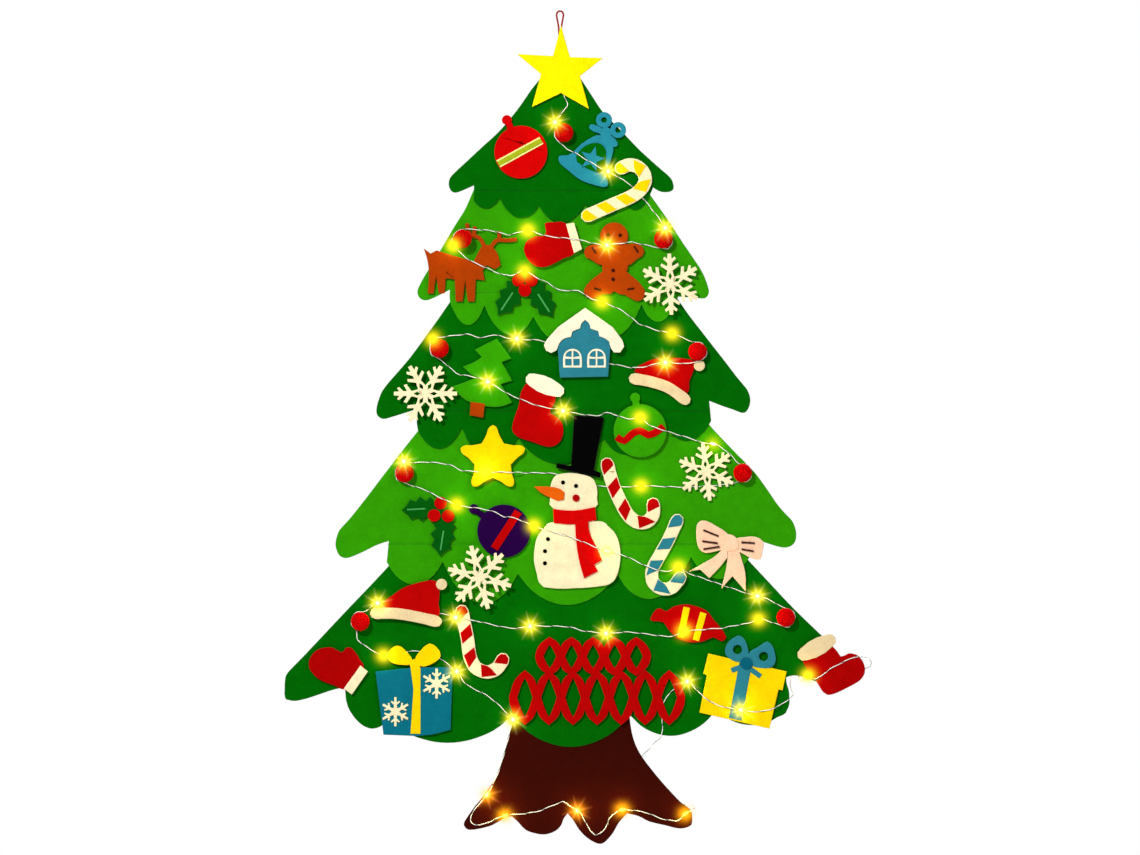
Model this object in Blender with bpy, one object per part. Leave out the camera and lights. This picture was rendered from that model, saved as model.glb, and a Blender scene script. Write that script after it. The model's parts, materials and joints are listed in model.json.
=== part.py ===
"""A felt Christmas tree wall hanging, with felt ornaments and a battery string of lights.

The frame has +Z up and the front facing -Y, and its origin is the inside top of the hanging loop.
Every outline is drawn on one pattern sheet, which is ruled in steps of GRID. A pattern point is
(across, down) in steps from the sheet's top left corner, and the loop's top is at LOOP_TOP.
Depths are metres out from the trunk's back, along the normal of the leaning tree.
"""

import math

import bmesh
import bpy
from mathutils import Vector

# Driving dimensions, in metres
GRID = 0.0012  # one step of the pattern sheet
FELT = 0.0020  # the felt of the tiers and the trunk
GAP = 0.0003  # clearance between pieces that touch
TIER_STEP = FELT + GAP  # each tier lies this far in front of the one below it
TIERS = 5
LOOP_TOP = (560, 12)

# Heights of an ornament's layers over the tier it hangs on
PATCH_TOP = 0.0026  # hook and loop patch on the back
LAYERS = {
    "felt": (0.0025, 0.0047),
    "trim": (0.0044, 0.0058),
    "top": (0.0042, 0.0069),
}
FELT_BACK = LAYERS["felt"][0]
LAYER_STAGGER = 0.00009  # keeps the faces of fused shapes out of one plane
STAGGERS = 3

# The lights' wire and its bulbs
WIRE_RADIUS = 0.00075
BULB_RADIUS = 0.0018
BULB_HALF = 0.0018  # half of a bulb's fat middle
BULB_NECK = 0.0040  # half of its whole length
BULB_REACH = 0.0052  # the wire's own points keep this far from a bulb's middle
BULB_APART = 0.0020
WIRE_BEND = 0.0060
TURN_STEPS = 5
WIRE_CLEAR = 0.0006
WIRE_SAMPLE = 0.0024
WIRE_SIDES = 0  # bevel resolution, which gives four sides
WIRE_LOOSE = 0.0009  # how far a left-out point may lie off the wire across the sheet
DEPTH_WEIGHT = 2.5  # and this many times less in depth
RAMP_DROP = 0.0016  # the most that the wire drops in one sample
SPREAD_STEPS = 2  # samples over which the wire stays up beside an edge

# Pompoms
POMPOM_RADIUS = 0.0105
POMPOM_CENTRE = 0.0070  # height of the ball's centre over the tier
POMPOM_SEGMENTS = 10
POMPOM_RINGS = 6
WRAP = 9.5  # radius of the wire's turn round a pompom, in pattern steps
POMPOM_COVER = WRAP - 2  # inside this radius a wire would lie over the pompom

# Facets
DISC_SIDES = 20
SMALL_DISC_SIDES = 10
CURVE_STEPS = 3
SCALLOP_STEPS = 7
SCALLOP_ROUND = 0.75  # below 1 makes the scallops fuller than a sine

DARK_GREEN = (0.0, 0.13, 0.01)
LIGHT_GREEN = (0.08, 0.40, 0.0)
BROWN = (0.045, 0.008, 0.004)
DARK_BROWN = (0.09, 0.025, 0.008)
RED = (0.58, 0.0, 0.005)
DARK_RED = (0.40, 0.0, 0.005)
YELLOW = (0.93, 0.75, 0.01)
CREAM = (0.95, 0.88, 0.70)
BLUE = (0.01, 0.22, 0.36)
PURPLE = (0.02, 0.0, 0.10)
SALMON = (0.90, 0.22, 0.20)
ORANGE = (0.85, 0.20, 0.02)
BLACK = (0.010, 0.010, 0.012)
SILVER = (0.75, 0.74, 0.70)
BOX_WHITE = (0.80, 0.80, 0.78)
SWITCH_GREY = (0.06, 0.06, 0.07)
CELL_GREEN = (0.02, 0.16, 0.05)


def polar(centre, radius, degrees):
    """Pattern point at a distance and an angle, with the angle running from right to down."""
    angle = math.radians(degrees)
    return (centre[0] + radius * math.cos(angle), centre[1] + radius * math.sin(angle))


def arc(centre, radius, start, end, steps):
    """Points of an arc from one angle to another."""
    return [polar(centre, radius, start + (end - start) * i / steps) for i in range(steps + 1)]


def disc(centre, radius, sides=DISC_SIDES):
    """Outline of a round patch of felt."""
    return [polar(centre, radius, 360 * i / sides) for i in range(sides)]


def star(centre, outer, inner, tips, turn):
    """Outline of a sharp star whose first tip is at the angle turn."""
    points = []
    for i in range(2 * tips):
        radius = outer if i % 2 == 0 else inner
        points.append(polar(centre, radius, turn + 180 * i / tips))
    return points


def blend_point(a, b, c, d, t):
    """Point of a Catmull-Rom curve between b and c."""
    result = []
    for p, q, r, s in zip(a, b, c, d):
        line = 2 * q + (r - p) * t
        bend = (2 * p - 5 * q + 4 * r - s) * t * t + (3 * q - p - 3 * r + s) * t * t * t
        result.append((line + bend) / 2)
    return tuple(result)


def curve(points, steps=CURVE_STEPS):
    """Open smooth curve through the points."""
    ends = [points[0]] + list(points) + [points[-1]]
    result = []
    for i in range(len(points) - 1):
        for step in range(steps):
            result.append(blend_point(*ends[i:i + 4], step / steps))
    result.append(tuple(points[-1]))
    return result


def ring(points, steps=CURVE_STEPS):
    """Closed smooth curve through the points."""
    count = len(points)
    result = []
    for i in range(count):
        around = [points[(i + k) % count] for k in (-1, 0, 1, 2)]
        for step in range(steps):
            result.append(blend_point(*around, step / steps))
    return result


def normal_at(points, i):
    """Unit normal of an open line at its point i, on the line's left on the sheet."""
    before = points[max(i - 1, 0)]
    after = points[min(i + 1, len(points) - 1)]
    dx = after[0] - before[0]
    dy = after[1] - before[1]
    length = math.hypot(dx, dy)
    return (-dy / length, dx / length)


def band(points, width, steps=CURVE_STEPS, round_ends=True):
    """Outline of a strip of felt along a smooth curve, with round or square ends."""
    line = curve(points, steps)
    half = width / 2
    left = []
    right = []
    for i, point in enumerate(line):
        nx, ny = normal_at(line, i)
        left.append((point[0] + nx * half, point[1] + ny * half))
        right.append((point[0] - nx * half, point[1] - ny * half))
    outline = left
    if round_ends:
        outline = outline + end_cap(line[-1], left[-1], half)
    outline = outline + right[::-1]
    if round_ends:
        outline = outline + end_cap(line[0], right[0], half)
    return outline


def end_cap(centre, start, radius, steps=4):
    """Inner points of the half circle that closes a strip's end."""
    first = math.degrees(math.atan2(start[1] - centre[1], start[0] - centre[0]))
    return [polar(centre, radius, first - 180 * i / steps) for i in range(1, steps)]


def stripe_corner(line, lengths, reach, offset):
    """Pattern point beside a line, so far along it."""
    i = max(j for j in range(len(line) - 1) if lengths[j] <= reach)
    t = (reach - lengths[i]) / (lengths[i + 1] - lengths[i])
    nx, ny = normal_at(line, i)
    x = line[i][0] + (line[i + 1][0] - line[i][0]) * t
    y = line[i][1] + (line[i + 1][1] - line[i][1]) * t
    return (x + nx * offset, y + ny * offset)


def stripes(points, width, count, slant):
    """Stripes and gaps of one length along a strip of felt, with a stripe on each round end."""
    line = curve(points, CURVE_STEPS * 2)
    lengths = [0]
    for a, b in zip(line, line[1:]):
        lengths.append(lengths[-1] + math.dist(a, b))
    whole, half = lengths[-1], width / 2
    step = (whole + width) / (2 * count - 1)
    result = []
    for k in range(count):
        near = 2 * k * step - half
        far = near + step
        corners = []
        for side, reach in ((-1, near), (-1, far), (1, far), (1, near)):
            reach = min(max(reach + side * slant / 2, 0), whole)
            corners.append(stripe_corner(line, lengths, reach, side * half))
        if k == 0:
            corners += end_cap(line[0], corners[0], half)[::-1]
        if k == count - 1:
            corners[2:2] = end_cap(line[-1], corners[2], half)[::-1]
        result.append(corners)
    return result


def inside(outline, point):
    """True where a pattern point lies within an outline."""
    x, y = point
    found = False
    for (x0, y0), (x1, y1) in zip(outline, outline[1:] + outline[:1]):
        if (y0 > y) != (y1 > y) and x < x0 + (y - y0) * (x1 - x0) / (y1 - y0):
            found = not found
    return found


def on_sheet(point, depth):
    """Place of a pattern point in the leaning tree's frame."""
    return Vector(((point[0] - LOOP_TOP[0]) * GRID, -depth, (LOOP_TOP[1] - point[1]) * GRID))


# Solids and objects

COVERS = []  # every surface that something may lie on: its tag, outline, depth and limits
BASES = {}  # depth that each ornament's layers are counted from


def limits(outline):
    """Least and greatest of an outline's two coordinates."""
    xs, ys = zip(*outline)
    return (min(xs), max(xs), min(ys), max(ys))


def apart(a, b):
    """True where two outlines' limits don't meet."""
    return a[1] < b[0] or b[1] < a[0] or a[3] < b[2] or b[3] < a[2]


def cover(tag, outline, depth):
    """Record a surface, so that ornaments and the wire can lie on it."""
    COVERS.append((tag, outline, depth, limits(outline)))


def depth_under(outline, skip=()):
    """Depth of the foremost surface that an outline lies over."""
    found = 0
    reach = limits(outline)
    for tag, other, depth, extent in COVERS:
        if tag in skip or depth <= found or apart(reach, extent):
            continue
        if any(inside(other, p) for p in outline) or any(inside(outline, p) for p in other):
            found = depth
    return found


def paint(item, colour, roughness, metallic=0):
    """Give an object its own material."""
    look = bpy.data.materials.new(item.name + "_look")
    look.use_nodes = True
    shader = look.node_tree.nodes["Principled BSDF"]
    shader.inputs["Base Color"].default_value = (*colour, 1)
    shader.inputs["Roughness"].default_value = roughness
    shader.inputs["Metallic"].default_value = metallic
    item.data.materials.clear()
    item.data.materials.append(look)


def link(name, data, parent=None, location=(0, 0, 0)):
    """Add an object to the scene."""
    item = bpy.data.objects.new(name, data)
    bpy.context.scene.collection.objects.link(item)
    item.location = location
    item.parent = parent
    return item


def prism(solid, outlines, back, front, origin):
    """Add a closed slab between two depths; outlines after the first are its holes."""
    shift = on_sheet(origin, 0)
    rims = ([], [])
    for outline in outlines:
        loops = []
        for rim, depth in zip(rims, (back, front)):
            verts = [solid.verts.new(on_sheet(p, depth) - shift) for p in outline]
            rim.extend(solid.edges.new(pair) for pair in zip(verts, verts[1:] + verts[:1]))
            loops.append(verts)
        near, far = loops
        for i in range(len(outline)):
            j = (i + 1) % len(outline)
            solid.faces.new((near[i], near[j], far[j], far[i]))
    for rim in rims:
        bmesh.ops.triangle_fill(solid, edges=rim, use_beauty=True)


def closed_mesh(name, solid):
    """Turn a bmesh into a mesh with its faces pointing out."""
    bmesh.ops.recalc_face_normals(solid, faces=solid.faces)
    mesh = bpy.data.meshes.new(name)
    solid.to_mesh(mesh)
    solid.free()
    return mesh


def fuse(name, slabs, origin):
    """One closed mesh from overlapping slabs, each given as outlines, back and front."""
    first = bmesh.new()
    prism(first, *slabs[0], origin)
    body = link(name + "_body", closed_mesh(name, first))
    if len(slabs) == 1:
        mesh = body.data
        bpy.data.objects.remove(body)
        return mesh
    others = bmesh.new()
    for slab in slabs[1:]:
        prism(others, *slab, origin)
    added = link(name + "_added", closed_mesh(name + "_added", others))
    union = body.modifiers.new("union", "BOOLEAN")
    union.operation = "UNION"
    union.object = added
    union.use_self = True
    view = bpy.context.evaluated_depsgraph_get()
    mesh = bpy.data.meshes.new_from_object(body.evaluated_get(view))
    bpy.data.objects.remove(body)
    bpy.data.objects.remove(added)
    return mesh


def ornament(name, colour, origin, shapes, patch=0, on=None):
    """Felt ornament made of shapes, each a layer's name and its outlines.

    With a patch radius it hangs on a hook and loop patch at its origin, and without one it lies
    flat on the ornament called on.
    """
    outlines = [shape[1] for shape in shapes]
    if on:
        seat = next(depth for tag, _, depth, _ in COVERS if tag == on)
        base = seat + GAP - FELT_BACK
    else:
        seat = max(depth_under(outline) for outline in outlines)
        base = seat
    BASES[name] = base
    slabs = []
    for i, (layer, *rings) in enumerate(shapes):
        back, front = LAYERS[layer]
        stagger = LAYER_STAGGER * (i % STAGGERS)
        slabs.append((rings, back + stagger, front - stagger))
        cover(name, rings[0], base + front)
    if patch:
        pad = disc(origin, patch, SMALL_DISC_SIDES)
        rest = depth_under(pad, skip=(name,))
        slabs.append(([pad], rest - base + GAP, PATCH_TOP))
    item = link(name, fuse(name, slabs, origin), TREE, on_sheet(origin, base))
    paint(item, colour, 0.95)
    return item


# Tree: five tiers, a trunk and a hanging loop

TIER_EDGES = {
    "tier_1": {
        "left": (
            (561, 52), (552, 64), (541, 78), (530, 92), (519, 108), (500, 131), (485, 145),
            (470, 159), (455, 173), (450, 179), (449, 186), (452, 192), (457, 193), (465, 190),
            (474, 186),
        ),
        "hem": ((474, 201), (500, 199), (539, 206.5), (585, 205), (625, 203), (651, 193)),
        "drops": (9, 16, 18, 14, 12),
        "right": (
            (653, 188), (660, 192), (668, 192.5), (673, 190), (673, 184), (670, 178), (660, 169),
            (640, 151), (620, 130), (604, 114), (593, 98), (582, 81), (570, 64),
        ),
    },
    "tier_2": {
        "left": (
            (480, 182), (474, 190), (465, 210), (455, 226), (441, 250), (425, 276), (418, 290),
            (419, 297), (424, 300.5), (432, 299), (450, 290),
        ),
        "hem": ((450, 301), (484.5, 306), (533.5, 317), (590, 322), (641.5, 305), (678, 297)),
        "drops": (22, 24, 24, 24, 21),
        "right": (
            (686, 297.5), (700, 298.6), (705.6, 298), (708.7, 292), (705.6, 280.5), (699.5, 268),
            (683, 243.6), (667, 219), (650, 195), (643, 184),
        ),
    },
    "tier_3": {
        "left": (
            (461, 286), (449.5, 303), (430, 331), (408.5, 360), (385.4, 387), (379.6, 398),
            (376.7, 409), (377.7, 415.6), (383, 419), (390.5, 417.6), (408.5, 412), (418, 409),
        ),
        "hem": ((418, 430), (462, 428), (518, 438), (604, 439), (662, 421), (711, 421)),
        "drops": (20, 28, 26, 24, 20),
        "right": (
            (709, 401), (721.7, 406), (733.5, 410), (741.7, 413), (746, 411.7), (749, 406.5),
            (750, 399), (747, 390), (736.5, 377), (722, 358), (692, 319.5), (683, 307),
            (670, 288),
        ),
    },
    "tier_4": {
        "left": (
            (440, 403), (418, 431), (395, 460.5), (361, 505), (348, 521), (339.6, 530.5),
            (336, 541.6), (336.6, 549), (340, 555.6), (346, 558), (353.6, 556), (365, 551),
            (377, 545), (389, 541),
        ),
        "hem": ((387, 562), (443, 562), (518, 574), (617, 574), (691, 557), (751, 553)),
        "drops": (23, 35, 31, 33, 24),
        "right": (
            (752, 537), (763.5, 542), (780, 547), (788, 547), (794, 543), (796, 534), (792, 521),
            (780, 508), (755.7, 474), (736.5, 454), (711, 427), (692, 404),
        ),
    },
    "tier_5": {
        "left": (
            (414, 536), (386.5, 568.5), (350.5, 606.5), (301, 659), (288.5, 672), (285.4, 680),
            (285.4, 697), (288.5, 699.6), (295.5, 700.6), (308, 698), (332, 690), (345, 687),
        ),
        "hem": ((348, 706), (388, 719), (512, 716), (630, 715), (716, 710), (777, 717)),
        "drops": (15, 25, 31, 23, 11),
        "right": (
            (785, 713), (789, 704), (788.5, 690), (786, 677), (800, 676), (817, 681.5),
            (828, 680), (833, 672), (834, 660), (830, 645),
            (821, 635), (794, 609), (748, 560), (725, 536),
        ),
    },
}
TRUNK_EDGE = (
    (514, 690), (512, 721.6), (506.4, 743), (500, 768), (488, 789.6), (475, 806), (466.6, 818),
    (464, 824), (468, 829), (478, 828.5), (491.5, 825), (501, 820), (512, 816), (524.6, 828.5),
    (534.6, 832.7), (544.5, 834), (554.5, 831), (561, 825), (567.7, 813), (579, 829),
    (587.6, 837.6), (597.6, 843), (604, 842), (612.5, 833), (627, 813), (649, 821),
    (665.6, 825), (679, 828), (689, 826), (692, 821), (690.5, 809.5), (682, 803), (665.6, 786),
    (649, 766), (637, 748), (631, 728), (628, 700), (627, 690),
)


def scallops(valleys, drops):
    """Hem of full scallops that hang by drops between the valleys."""
    points = []
    for (x0, y0), (x1, y1), drop in zip(valleys, valleys[1:], drops):
        for i in range(SCALLOP_STEPS):
            t = i / SCALLOP_STEPS
            sag = drop * math.sin(math.pi * t) ** SCALLOP_ROUND
            points.append((x0 + (x1 - x0) * t, y0 + (y1 - y0) * t + sag))
    points.append(valleys[-1])
    return points


def tier_outline(name):
    """Whole outline of a tier, down its left edge and back up its right one."""
    edges = TIER_EDGES[name]
    left = curve(edges["left"], 2)
    right = curve(edges["right"], 2)
    return left + scallops(edges["hem"], edges["drops"]) + right


def tier_back(level):
    """Depth of a tier's back, counted down from the top tier."""
    return TIER_STEP * (TIERS + 1 - level)


def make_tree():
    """Tiers, front to back from the top, and the trunk behind them."""
    for level in range(1, TIERS + 1):
        name = "tier_" + str(level)
        outline = tier_outline(name)
        back = tier_back(level)
        item = link(name, fuse(name, [([outline], 0, FELT)], LOOP_TOP), TREE, (0, -back, 0))
        paint(item, DARK_GREEN if level % 2 else LIGHT_GREEN, 0.95)
        cover(name, outline, back + FELT)
    outline = curve(TRUNK_EDGE, 2)
    trunk = link("trunk", fuse("trunk", [([outline], 0, FELT)], LOOP_TOP), TREE)
    paint(trunk, BROWN, 0.95)
    cover("trunk", outline, FELT)


# Baubles, bell and star

SHARP_STAR = (
    (561, 26), (570, 58), (603, 59), (580, 77), (589, 110), (561, 94), (532, 108), (541, 75),
    (517, 55), (553, 57),
)
SHARP_STAR_PATCH = (561, 72)
BAUBLES = {
    "red_bauble": {"centre": (521, 153), "knob": (507, 121)},
    "green_bauble": {"centre": (640, 431), "knob": (635, 398)},
    "purple_bauble": {"centre": (504, 531), "knob": (474, 509)},
}
BAUBLE_RADIUS = 26.5
KNOB_RADIUS = 5
NECK_WIDTH = 7
RED_STRIPE = ((498.5, 165), (541.5, 141.5))
PURPLE_STRIPE = ((518.5, 511.5), (494.5, 548.5))
GREEN_WAVE = (
    (616.5, 437), (624, 441), (632, 434), (640, 431), (648, 435), (656, 432), (663.5, 426.5),
)
WIDE_STRIPE = 8
NARROW_STRIPE = 4.5
WAVE_WIDTH = 7
PATCH = 8  # radius of a wide ornament's patch, in pattern steps
SMALL_PATCH = 4.6


def bauble(name, colour, bands):
    """Round felt bauble with a neck, a knob and its bands of trim."""
    centre, knob = BAUBLES[name]["centre"], BAUBLES[name]["knob"]
    neck = band((knob, centre), NECK_WIDTH, 1, False)
    shapes = [
        ("felt", disc(centre, BAUBLE_RADIUS)),
        ("felt", disc(knob, KNOB_RADIUS, SMALL_DISC_SIDES)),
        ("felt", neck),
    ]
    ornament(name, colour, centre, shapes + bands, PATCH)


def make_baubles():
    """The sharp star and the three baubles."""
    ornament("top_star", YELLOW, SHARP_STAR_PATCH, [("felt", SHARP_STAR)], PATCH)
    wide = ("trim", band(RED_STRIPE, WIDE_STRIPE, 1, False))
    narrow = ("top", band(RED_STRIPE, NARROW_STRIPE, 1, False))
    bauble("red_bauble", RED, [wide, narrow])
    bauble("green_bauble", LIGHT_GREEN, [("trim", band(GREEN_WAVE, WAVE_WIDTH, 2, False))])
    bauble("purple_bauble", PURPLE, [("trim", band(PURPLE_STRIPE, WIDE_STRIPE, 1, False))])


YELLOW_STAR_CENTRE = (493, 459)
YELLOW_STAR_TURN = -90
TIP_REACH = 32
TIP_HALF_TURN = 6  # degrees from a tip's middle to its rounded corners
VALLEY_REACH = 19


def make_yellow_star():
    """Plump star with rounded tips."""
    arms = []
    for tip in range(5):
        angle = YELLOW_STAR_TURN + 360 / 5 * tip
        arms.append(polar(YELLOW_STAR_CENTRE, TIP_REACH, angle - TIP_HALF_TURN))
        arms.append(polar(YELLOW_STAR_CENTRE, TIP_REACH, angle + TIP_HALF_TURN))
        arms.append(polar(YELLOW_STAR_CENTRE, VALLEY_REACH, angle + 360 / 10))
    ornament("yellow_star", YELLOW, YELLOW_STAR_CENTRE, [("felt", ring(arms, 2))], PATCH)


BELL_BODY = (
    (598, 136), (589, 140), (580, 146), (574, 152), (568, 156), (559, 157), (560, 164),
    (568, 171), (579, 180), (591, 185), (605, 188), (608, 184), (606, 175), (610, 164),
    (613, 153), (613, 145), (609, 139),
)
BELL_WINDOW = ((577, 163), (579, 153), (587, 146), (597, 144), (604, 148), (606, 158), (600, 174))
BELL_BOWS = ((604, 121), (618, 131))
BELL_BOW_RADIUS = 8
BELL_BOW_EYE = 3
BELL_KNOT = (606, 134)
BELL_RIBBON = 6  # width of the tails and radius of the knot
BELL_TAILS = (((603, 133), (592, 128)), ((608, 137), (615, 145)))
BELL_STAR = {"centre": (592, 160), "outer": 13, "inner": 5.5, "turn": 70}
BELL_PATCH = (596, 150)


def make_bell():
    """Blue bell with a bow, and a star in its window."""
    shapes = [("felt", ring(BELL_BODY, 2))]
    for bow in BELL_BOWS:
        shapes.append(("felt", disc(bow, BELL_BOW_RADIUS, 12), disc(bow, BELL_BOW_EYE, 6)))
    shapes.append(("felt", disc(BELL_KNOT, BELL_RIBBON, SMALL_DISC_SIDES)))
    shapes.extend(("felt", band(tail, BELL_RIBBON, 1)) for tail in BELL_TAILS)
    shapes.append(("trim", ring(BELL_WINDOW, 2)))
    shapes.append(("top", star(tips=5, **BELL_STAR)))
    ornament("blue_bell", BLUE, BELL_PATCH, shapes, PATCH)


# Candy canes and the sweet

CANES = {
    "yellow_candy_cane": {
        "line": (
            (587.5, 216.5), (600, 211), (615, 204.5), (630, 198), (640, 191), (645, 182),
            (643, 173), (636, 167), (628, 166), (621, 169),
        ),
        "width": 13.5, "stripes": 6, "patch": (608, 207.5),
    },
    "upper_red_cane": {
        "line": (
            (607, 464), (613, 485), (621, 503), (628, 515), (637, 522), (647, 521.5), (653, 514),
            (653, 504),
        ),
        "width": 13.5, "stripes": 5, "patch": (610.5, 476),
    },
    "lower_red_cane": {
        "line": (
            (462, 611), (465, 625), (468, 640), (470, 655), (476, 667), (487, 671.5), (497, 668),
            (503, 659),
        ),
        "width": 13.5, "stripes": 5, "patch": (467, 634),
    },
    "blue_cane": {
        "line": (
            (677, 520), (668, 540), (658, 558), (652, 570), (653, 582), (662, 588.5), (672, 587),
            (680, 577),
        ),
        "width": 13, "stripes": 5, "patch": (665, 545),
    },
}


STRIPE_INSET = 2.0  # how much narrower a stripe is than its cane
STRIPE_SLANT = 7


def make_canes():
    """Four candy canes with slanting stripes."""
    for name, cane in CANES.items():
        shapes = [("felt", band(cane["line"], cane["width"], 2))]
        width = cane["width"] - STRIPE_INSET
        for stripe in stripes(cane["line"], width, cane["stripes"], STRIPE_SLANT):
            shapes.append(("trim", stripe))
        ornament(name, CREAM, cane["patch"], shapes, SMALL_PATCH)


SWEET = (
    (650, 619), (655, 610), (660, 608), (666, 611), (672, 607), (684, 604), (696, 606),
    (707, 611), (713, 619), (720, 627), (726, 637), (721, 641), (713, 637), (703, 641),
    (690, 642), (677, 638), (668, 629), (663, 622), (655, 621),
)
SWEET_STRIPES = (((686.5, 607), (680, 637)), ((703, 612.5), (695.5, 640)))
SWEET_STRIPE_WIDTH = 6.5
SWEET_PATCH = (690, 622)


def make_sweet():
    """Wrapped sweet with two stripes."""
    shapes = [("felt", ring(SWEET, 2))]
    for stripe in SWEET_STRIPES:
        shapes.append(("trim", band(stripe, SWEET_STRIPE_WIDTH, 1, False)))
    ornament("wrapped_candy", RED, SWEET_PATCH, shapes, PATCH)


# Snowflakes

SNOWFLAKES = {
    "snowflake_1": {"centre": (670, 285), "size": 30.5, "turn": 88},
    "snowflake_2": {"centre": (426, 394), "size": 31.5, "turn": 0},
    "snowflake_3": {"centre": (706, 472), "size": 29, "turn": 23},
    "snowflake_4": {"centre": (480, 577), "size": 32.5, "turn": 15},
}
SNOW_ARM = (
    (0.44, 0.085), (0.60, 0.30), (0.69, 0.27), (0.58, 0.08), (0.69, 0.075), (0.83, 0.21),
    (0.90, 0.17), (0.83, 0.07), (1.0, 0.06),
)
SNOW_VALLEY = 0.27
SNOW_HOLE = ((0.15, 0), (0.26, 0.06), (0.38, 0), (0.26, -0.06))


def snowflake(centre, size, turn):
    """Outline of a six-armed snowflake with two pairs of twigs on each arm."""
    points = []
    for arm in range(6):
        angle = turn + 60 * arm
        points.append(polar(centre, SNOW_VALLEY * size, angle - 30))
        points.extend(off_arm(centre, size, angle, along, -across) for along, across in SNOW_ARM)
        points.extend(
            off_arm(centre, size, angle, along, across) for along, across in SNOW_ARM[::-1]
        )
    return points


def off_arm(centre, size, angle, along, across):
    """Pattern point beside a snowflake's arm, in shares of the snowflake's size."""
    middle = polar(centre, along * size, angle)
    return polar(middle, across * size, angle + 90)


def make_snowflakes():
    """Four snowflakes with rhombic holes round the hub."""
    for name, flake in SNOWFLAKES.items():
        centre, size, turn = flake["centre"], flake["size"], flake["turn"]
        holes = []
        for arm in range(6):
            angle = turn + 60 * arm
            holes.append([off_arm(centre, size, angle, *corner) for corner in SNOW_HOLE])
        shapes = [("felt", snowflake(centre, size, turn), *holes)]
        ornament(name, CREAM, centre, shapes, SMALL_PATCH)


# Clothes: hats, mittens and stockings

HATS = {
    "right_santa_hat": {
        "red": (
            (634, 372), (643, 364), (655, 359), (670, 358), (685, 359), (695, 362), (693, 372),
            (689, 382), (686, 395), (660, 382),
        ),
        "cuff": ((634, 379), (650, 382), (668, 388), (685, 400)),
        "bobble": (699, 366),
        "centre": (668, 373),
    },
    "left_santa_hat": {
        "red": (
            (380, 608), (393, 595), (405, 587), (420, 582), (433, 580), (438, 583), (440, 592),
            (439, 603), (438, 618), (410, 613),
        ),
        "cuff": ((376, 613), (395, 613), (415, 616), (437, 621)),
        "bobble": (442, 584),
        "centre": (415, 598),
    },
}
MITTENS = {
    "upper_mitten": {
        "red": (
            (566, 224), (555, 223), (545, 224), (546, 232), (543, 237), (535, 237), (527, 242),
            (524, 250), (527, 259), (534, 266), (543, 268), (553, 265), (564, 259), (575, 254),
            (572, 240),
        ),
        "cuff": ((566, 225), (574, 223.5), (582, 250), (574, 254)),
        "centre": (549, 249),
    },
    "lower_mitten": {
        "red": (
            (311, 657), (319, 649), (332, 647), (342, 652), (346, 648), (351, 647), (356, 652),
            (361, 660), (364, 669), (349, 689), (335, 685), (320, 679), (310, 668),
        ),
        "cuff": ((361, 665), (368.5, 671), (352.5, 694), (344.5, 688)),
        "centre": (334, 667),
    },
}
STOCKINGS = {
    "upper_stocking": {
        "red": (
            (526, 384), (519, 405), (513, 423), (513, 432), (520, 438), (535, 443), (548, 447),
            (558, 444), (563, 435), (562, 423), (555, 416), (550, 411), (556, 395),
        ),
        "cuff": ((532, 380), (558, 391)),
        "centre": (537, 420),
    },
    "lower_stocking": {
        "red": (
            (802, 661), (815, 652), (831, 645), (840, 656), (848, 653), (857, 655), (863, 663),
            (864, 672), (859, 680), (845, 688), (831, 694), (823, 692), (812, 675),
        ),
        "cuff": ((803, 654), (829, 640)),
        "centre": (822, 665),
    },
}


HAT_CUFF = 11
STOCKING_CUFF = 13
BOBBLE_RADIUS = 5.5


def make_clothes():
    """Hats, mittens and stockings with their white trimmings."""
    for name, hat in HATS.items():
        shapes = [
            ("felt", ring(hat["red"], 2)),
            ("trim", band(hat["cuff"], HAT_CUFF, 2)),
            ("top", disc(hat["bobble"], BOBBLE_RADIUS, SMALL_DISC_SIDES)),
        ]
        ornament(name, RED, hat["centre"], shapes, PATCH)
    for name, mitten in MITTENS.items():
        shapes = [("felt", ring(mitten["red"], 2)), ("trim", list(mitten["cuff"]))]
        ornament(name, RED, mitten["centre"], shapes, PATCH)
    for name, stocking in STOCKINGS.items():
        shapes = [("felt", ring(stocking["red"], 2))]
        shapes.append(("trim", band(stocking["cuff"], STOCKING_CUFF, 1)))
        ornament(name, RED, stocking["centre"], shapes, PATCH)


# Holly and the little tree

LEAF = (
    (0.10, 0.50), (0.20, 0.95), (0.33, 0.62), (0.48, 1.0), (0.60, 0.62), (0.76, 0.80),
    (0.85, 0.38),
)
LEAF_HALF = 12.5
VEIN_SPAN = (0.35, 0.85)
VEIN_WIDTH = 1.6
BERRY_RADIUS = 6.3
HOLLY_PATCH = 6.5
HOLLIES = {
    "upper_holly": {
        "leaves": (((521, 281), (498, 316)), ((530, 282), (553, 318))),
        "berries": ((518.5, 281), (531.5, 281), (525, 291)),
        "centre": (525, 288),
    },
    "lower_holly": {
        "leaves": (((439, 508), (402, 510)), ((446, 517), (440, 556))),
        "berries": ((441, 503), (434.5, 515.5), (448.5, 516)),
        "centre": (440, 514),
    },
}


def leaf(base, tip):
    """Outline of a spiked holly leaf from its base to its tip."""
    dx, dy = tip[0] - base[0], tip[1] - base[1]
    length = math.hypot(dx, dy)
    points = [base]
    for side, profile in ((1, LEAF), (-1, LEAF[::-1])):
        for along, across in profile:
            out = side * across * LEAF_HALF / length
            points.append((base[0] + dx * along - dy * out, base[1] + dy * along + dx * out))
        if side == 1:
            points.append(tip)
    return points


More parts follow.
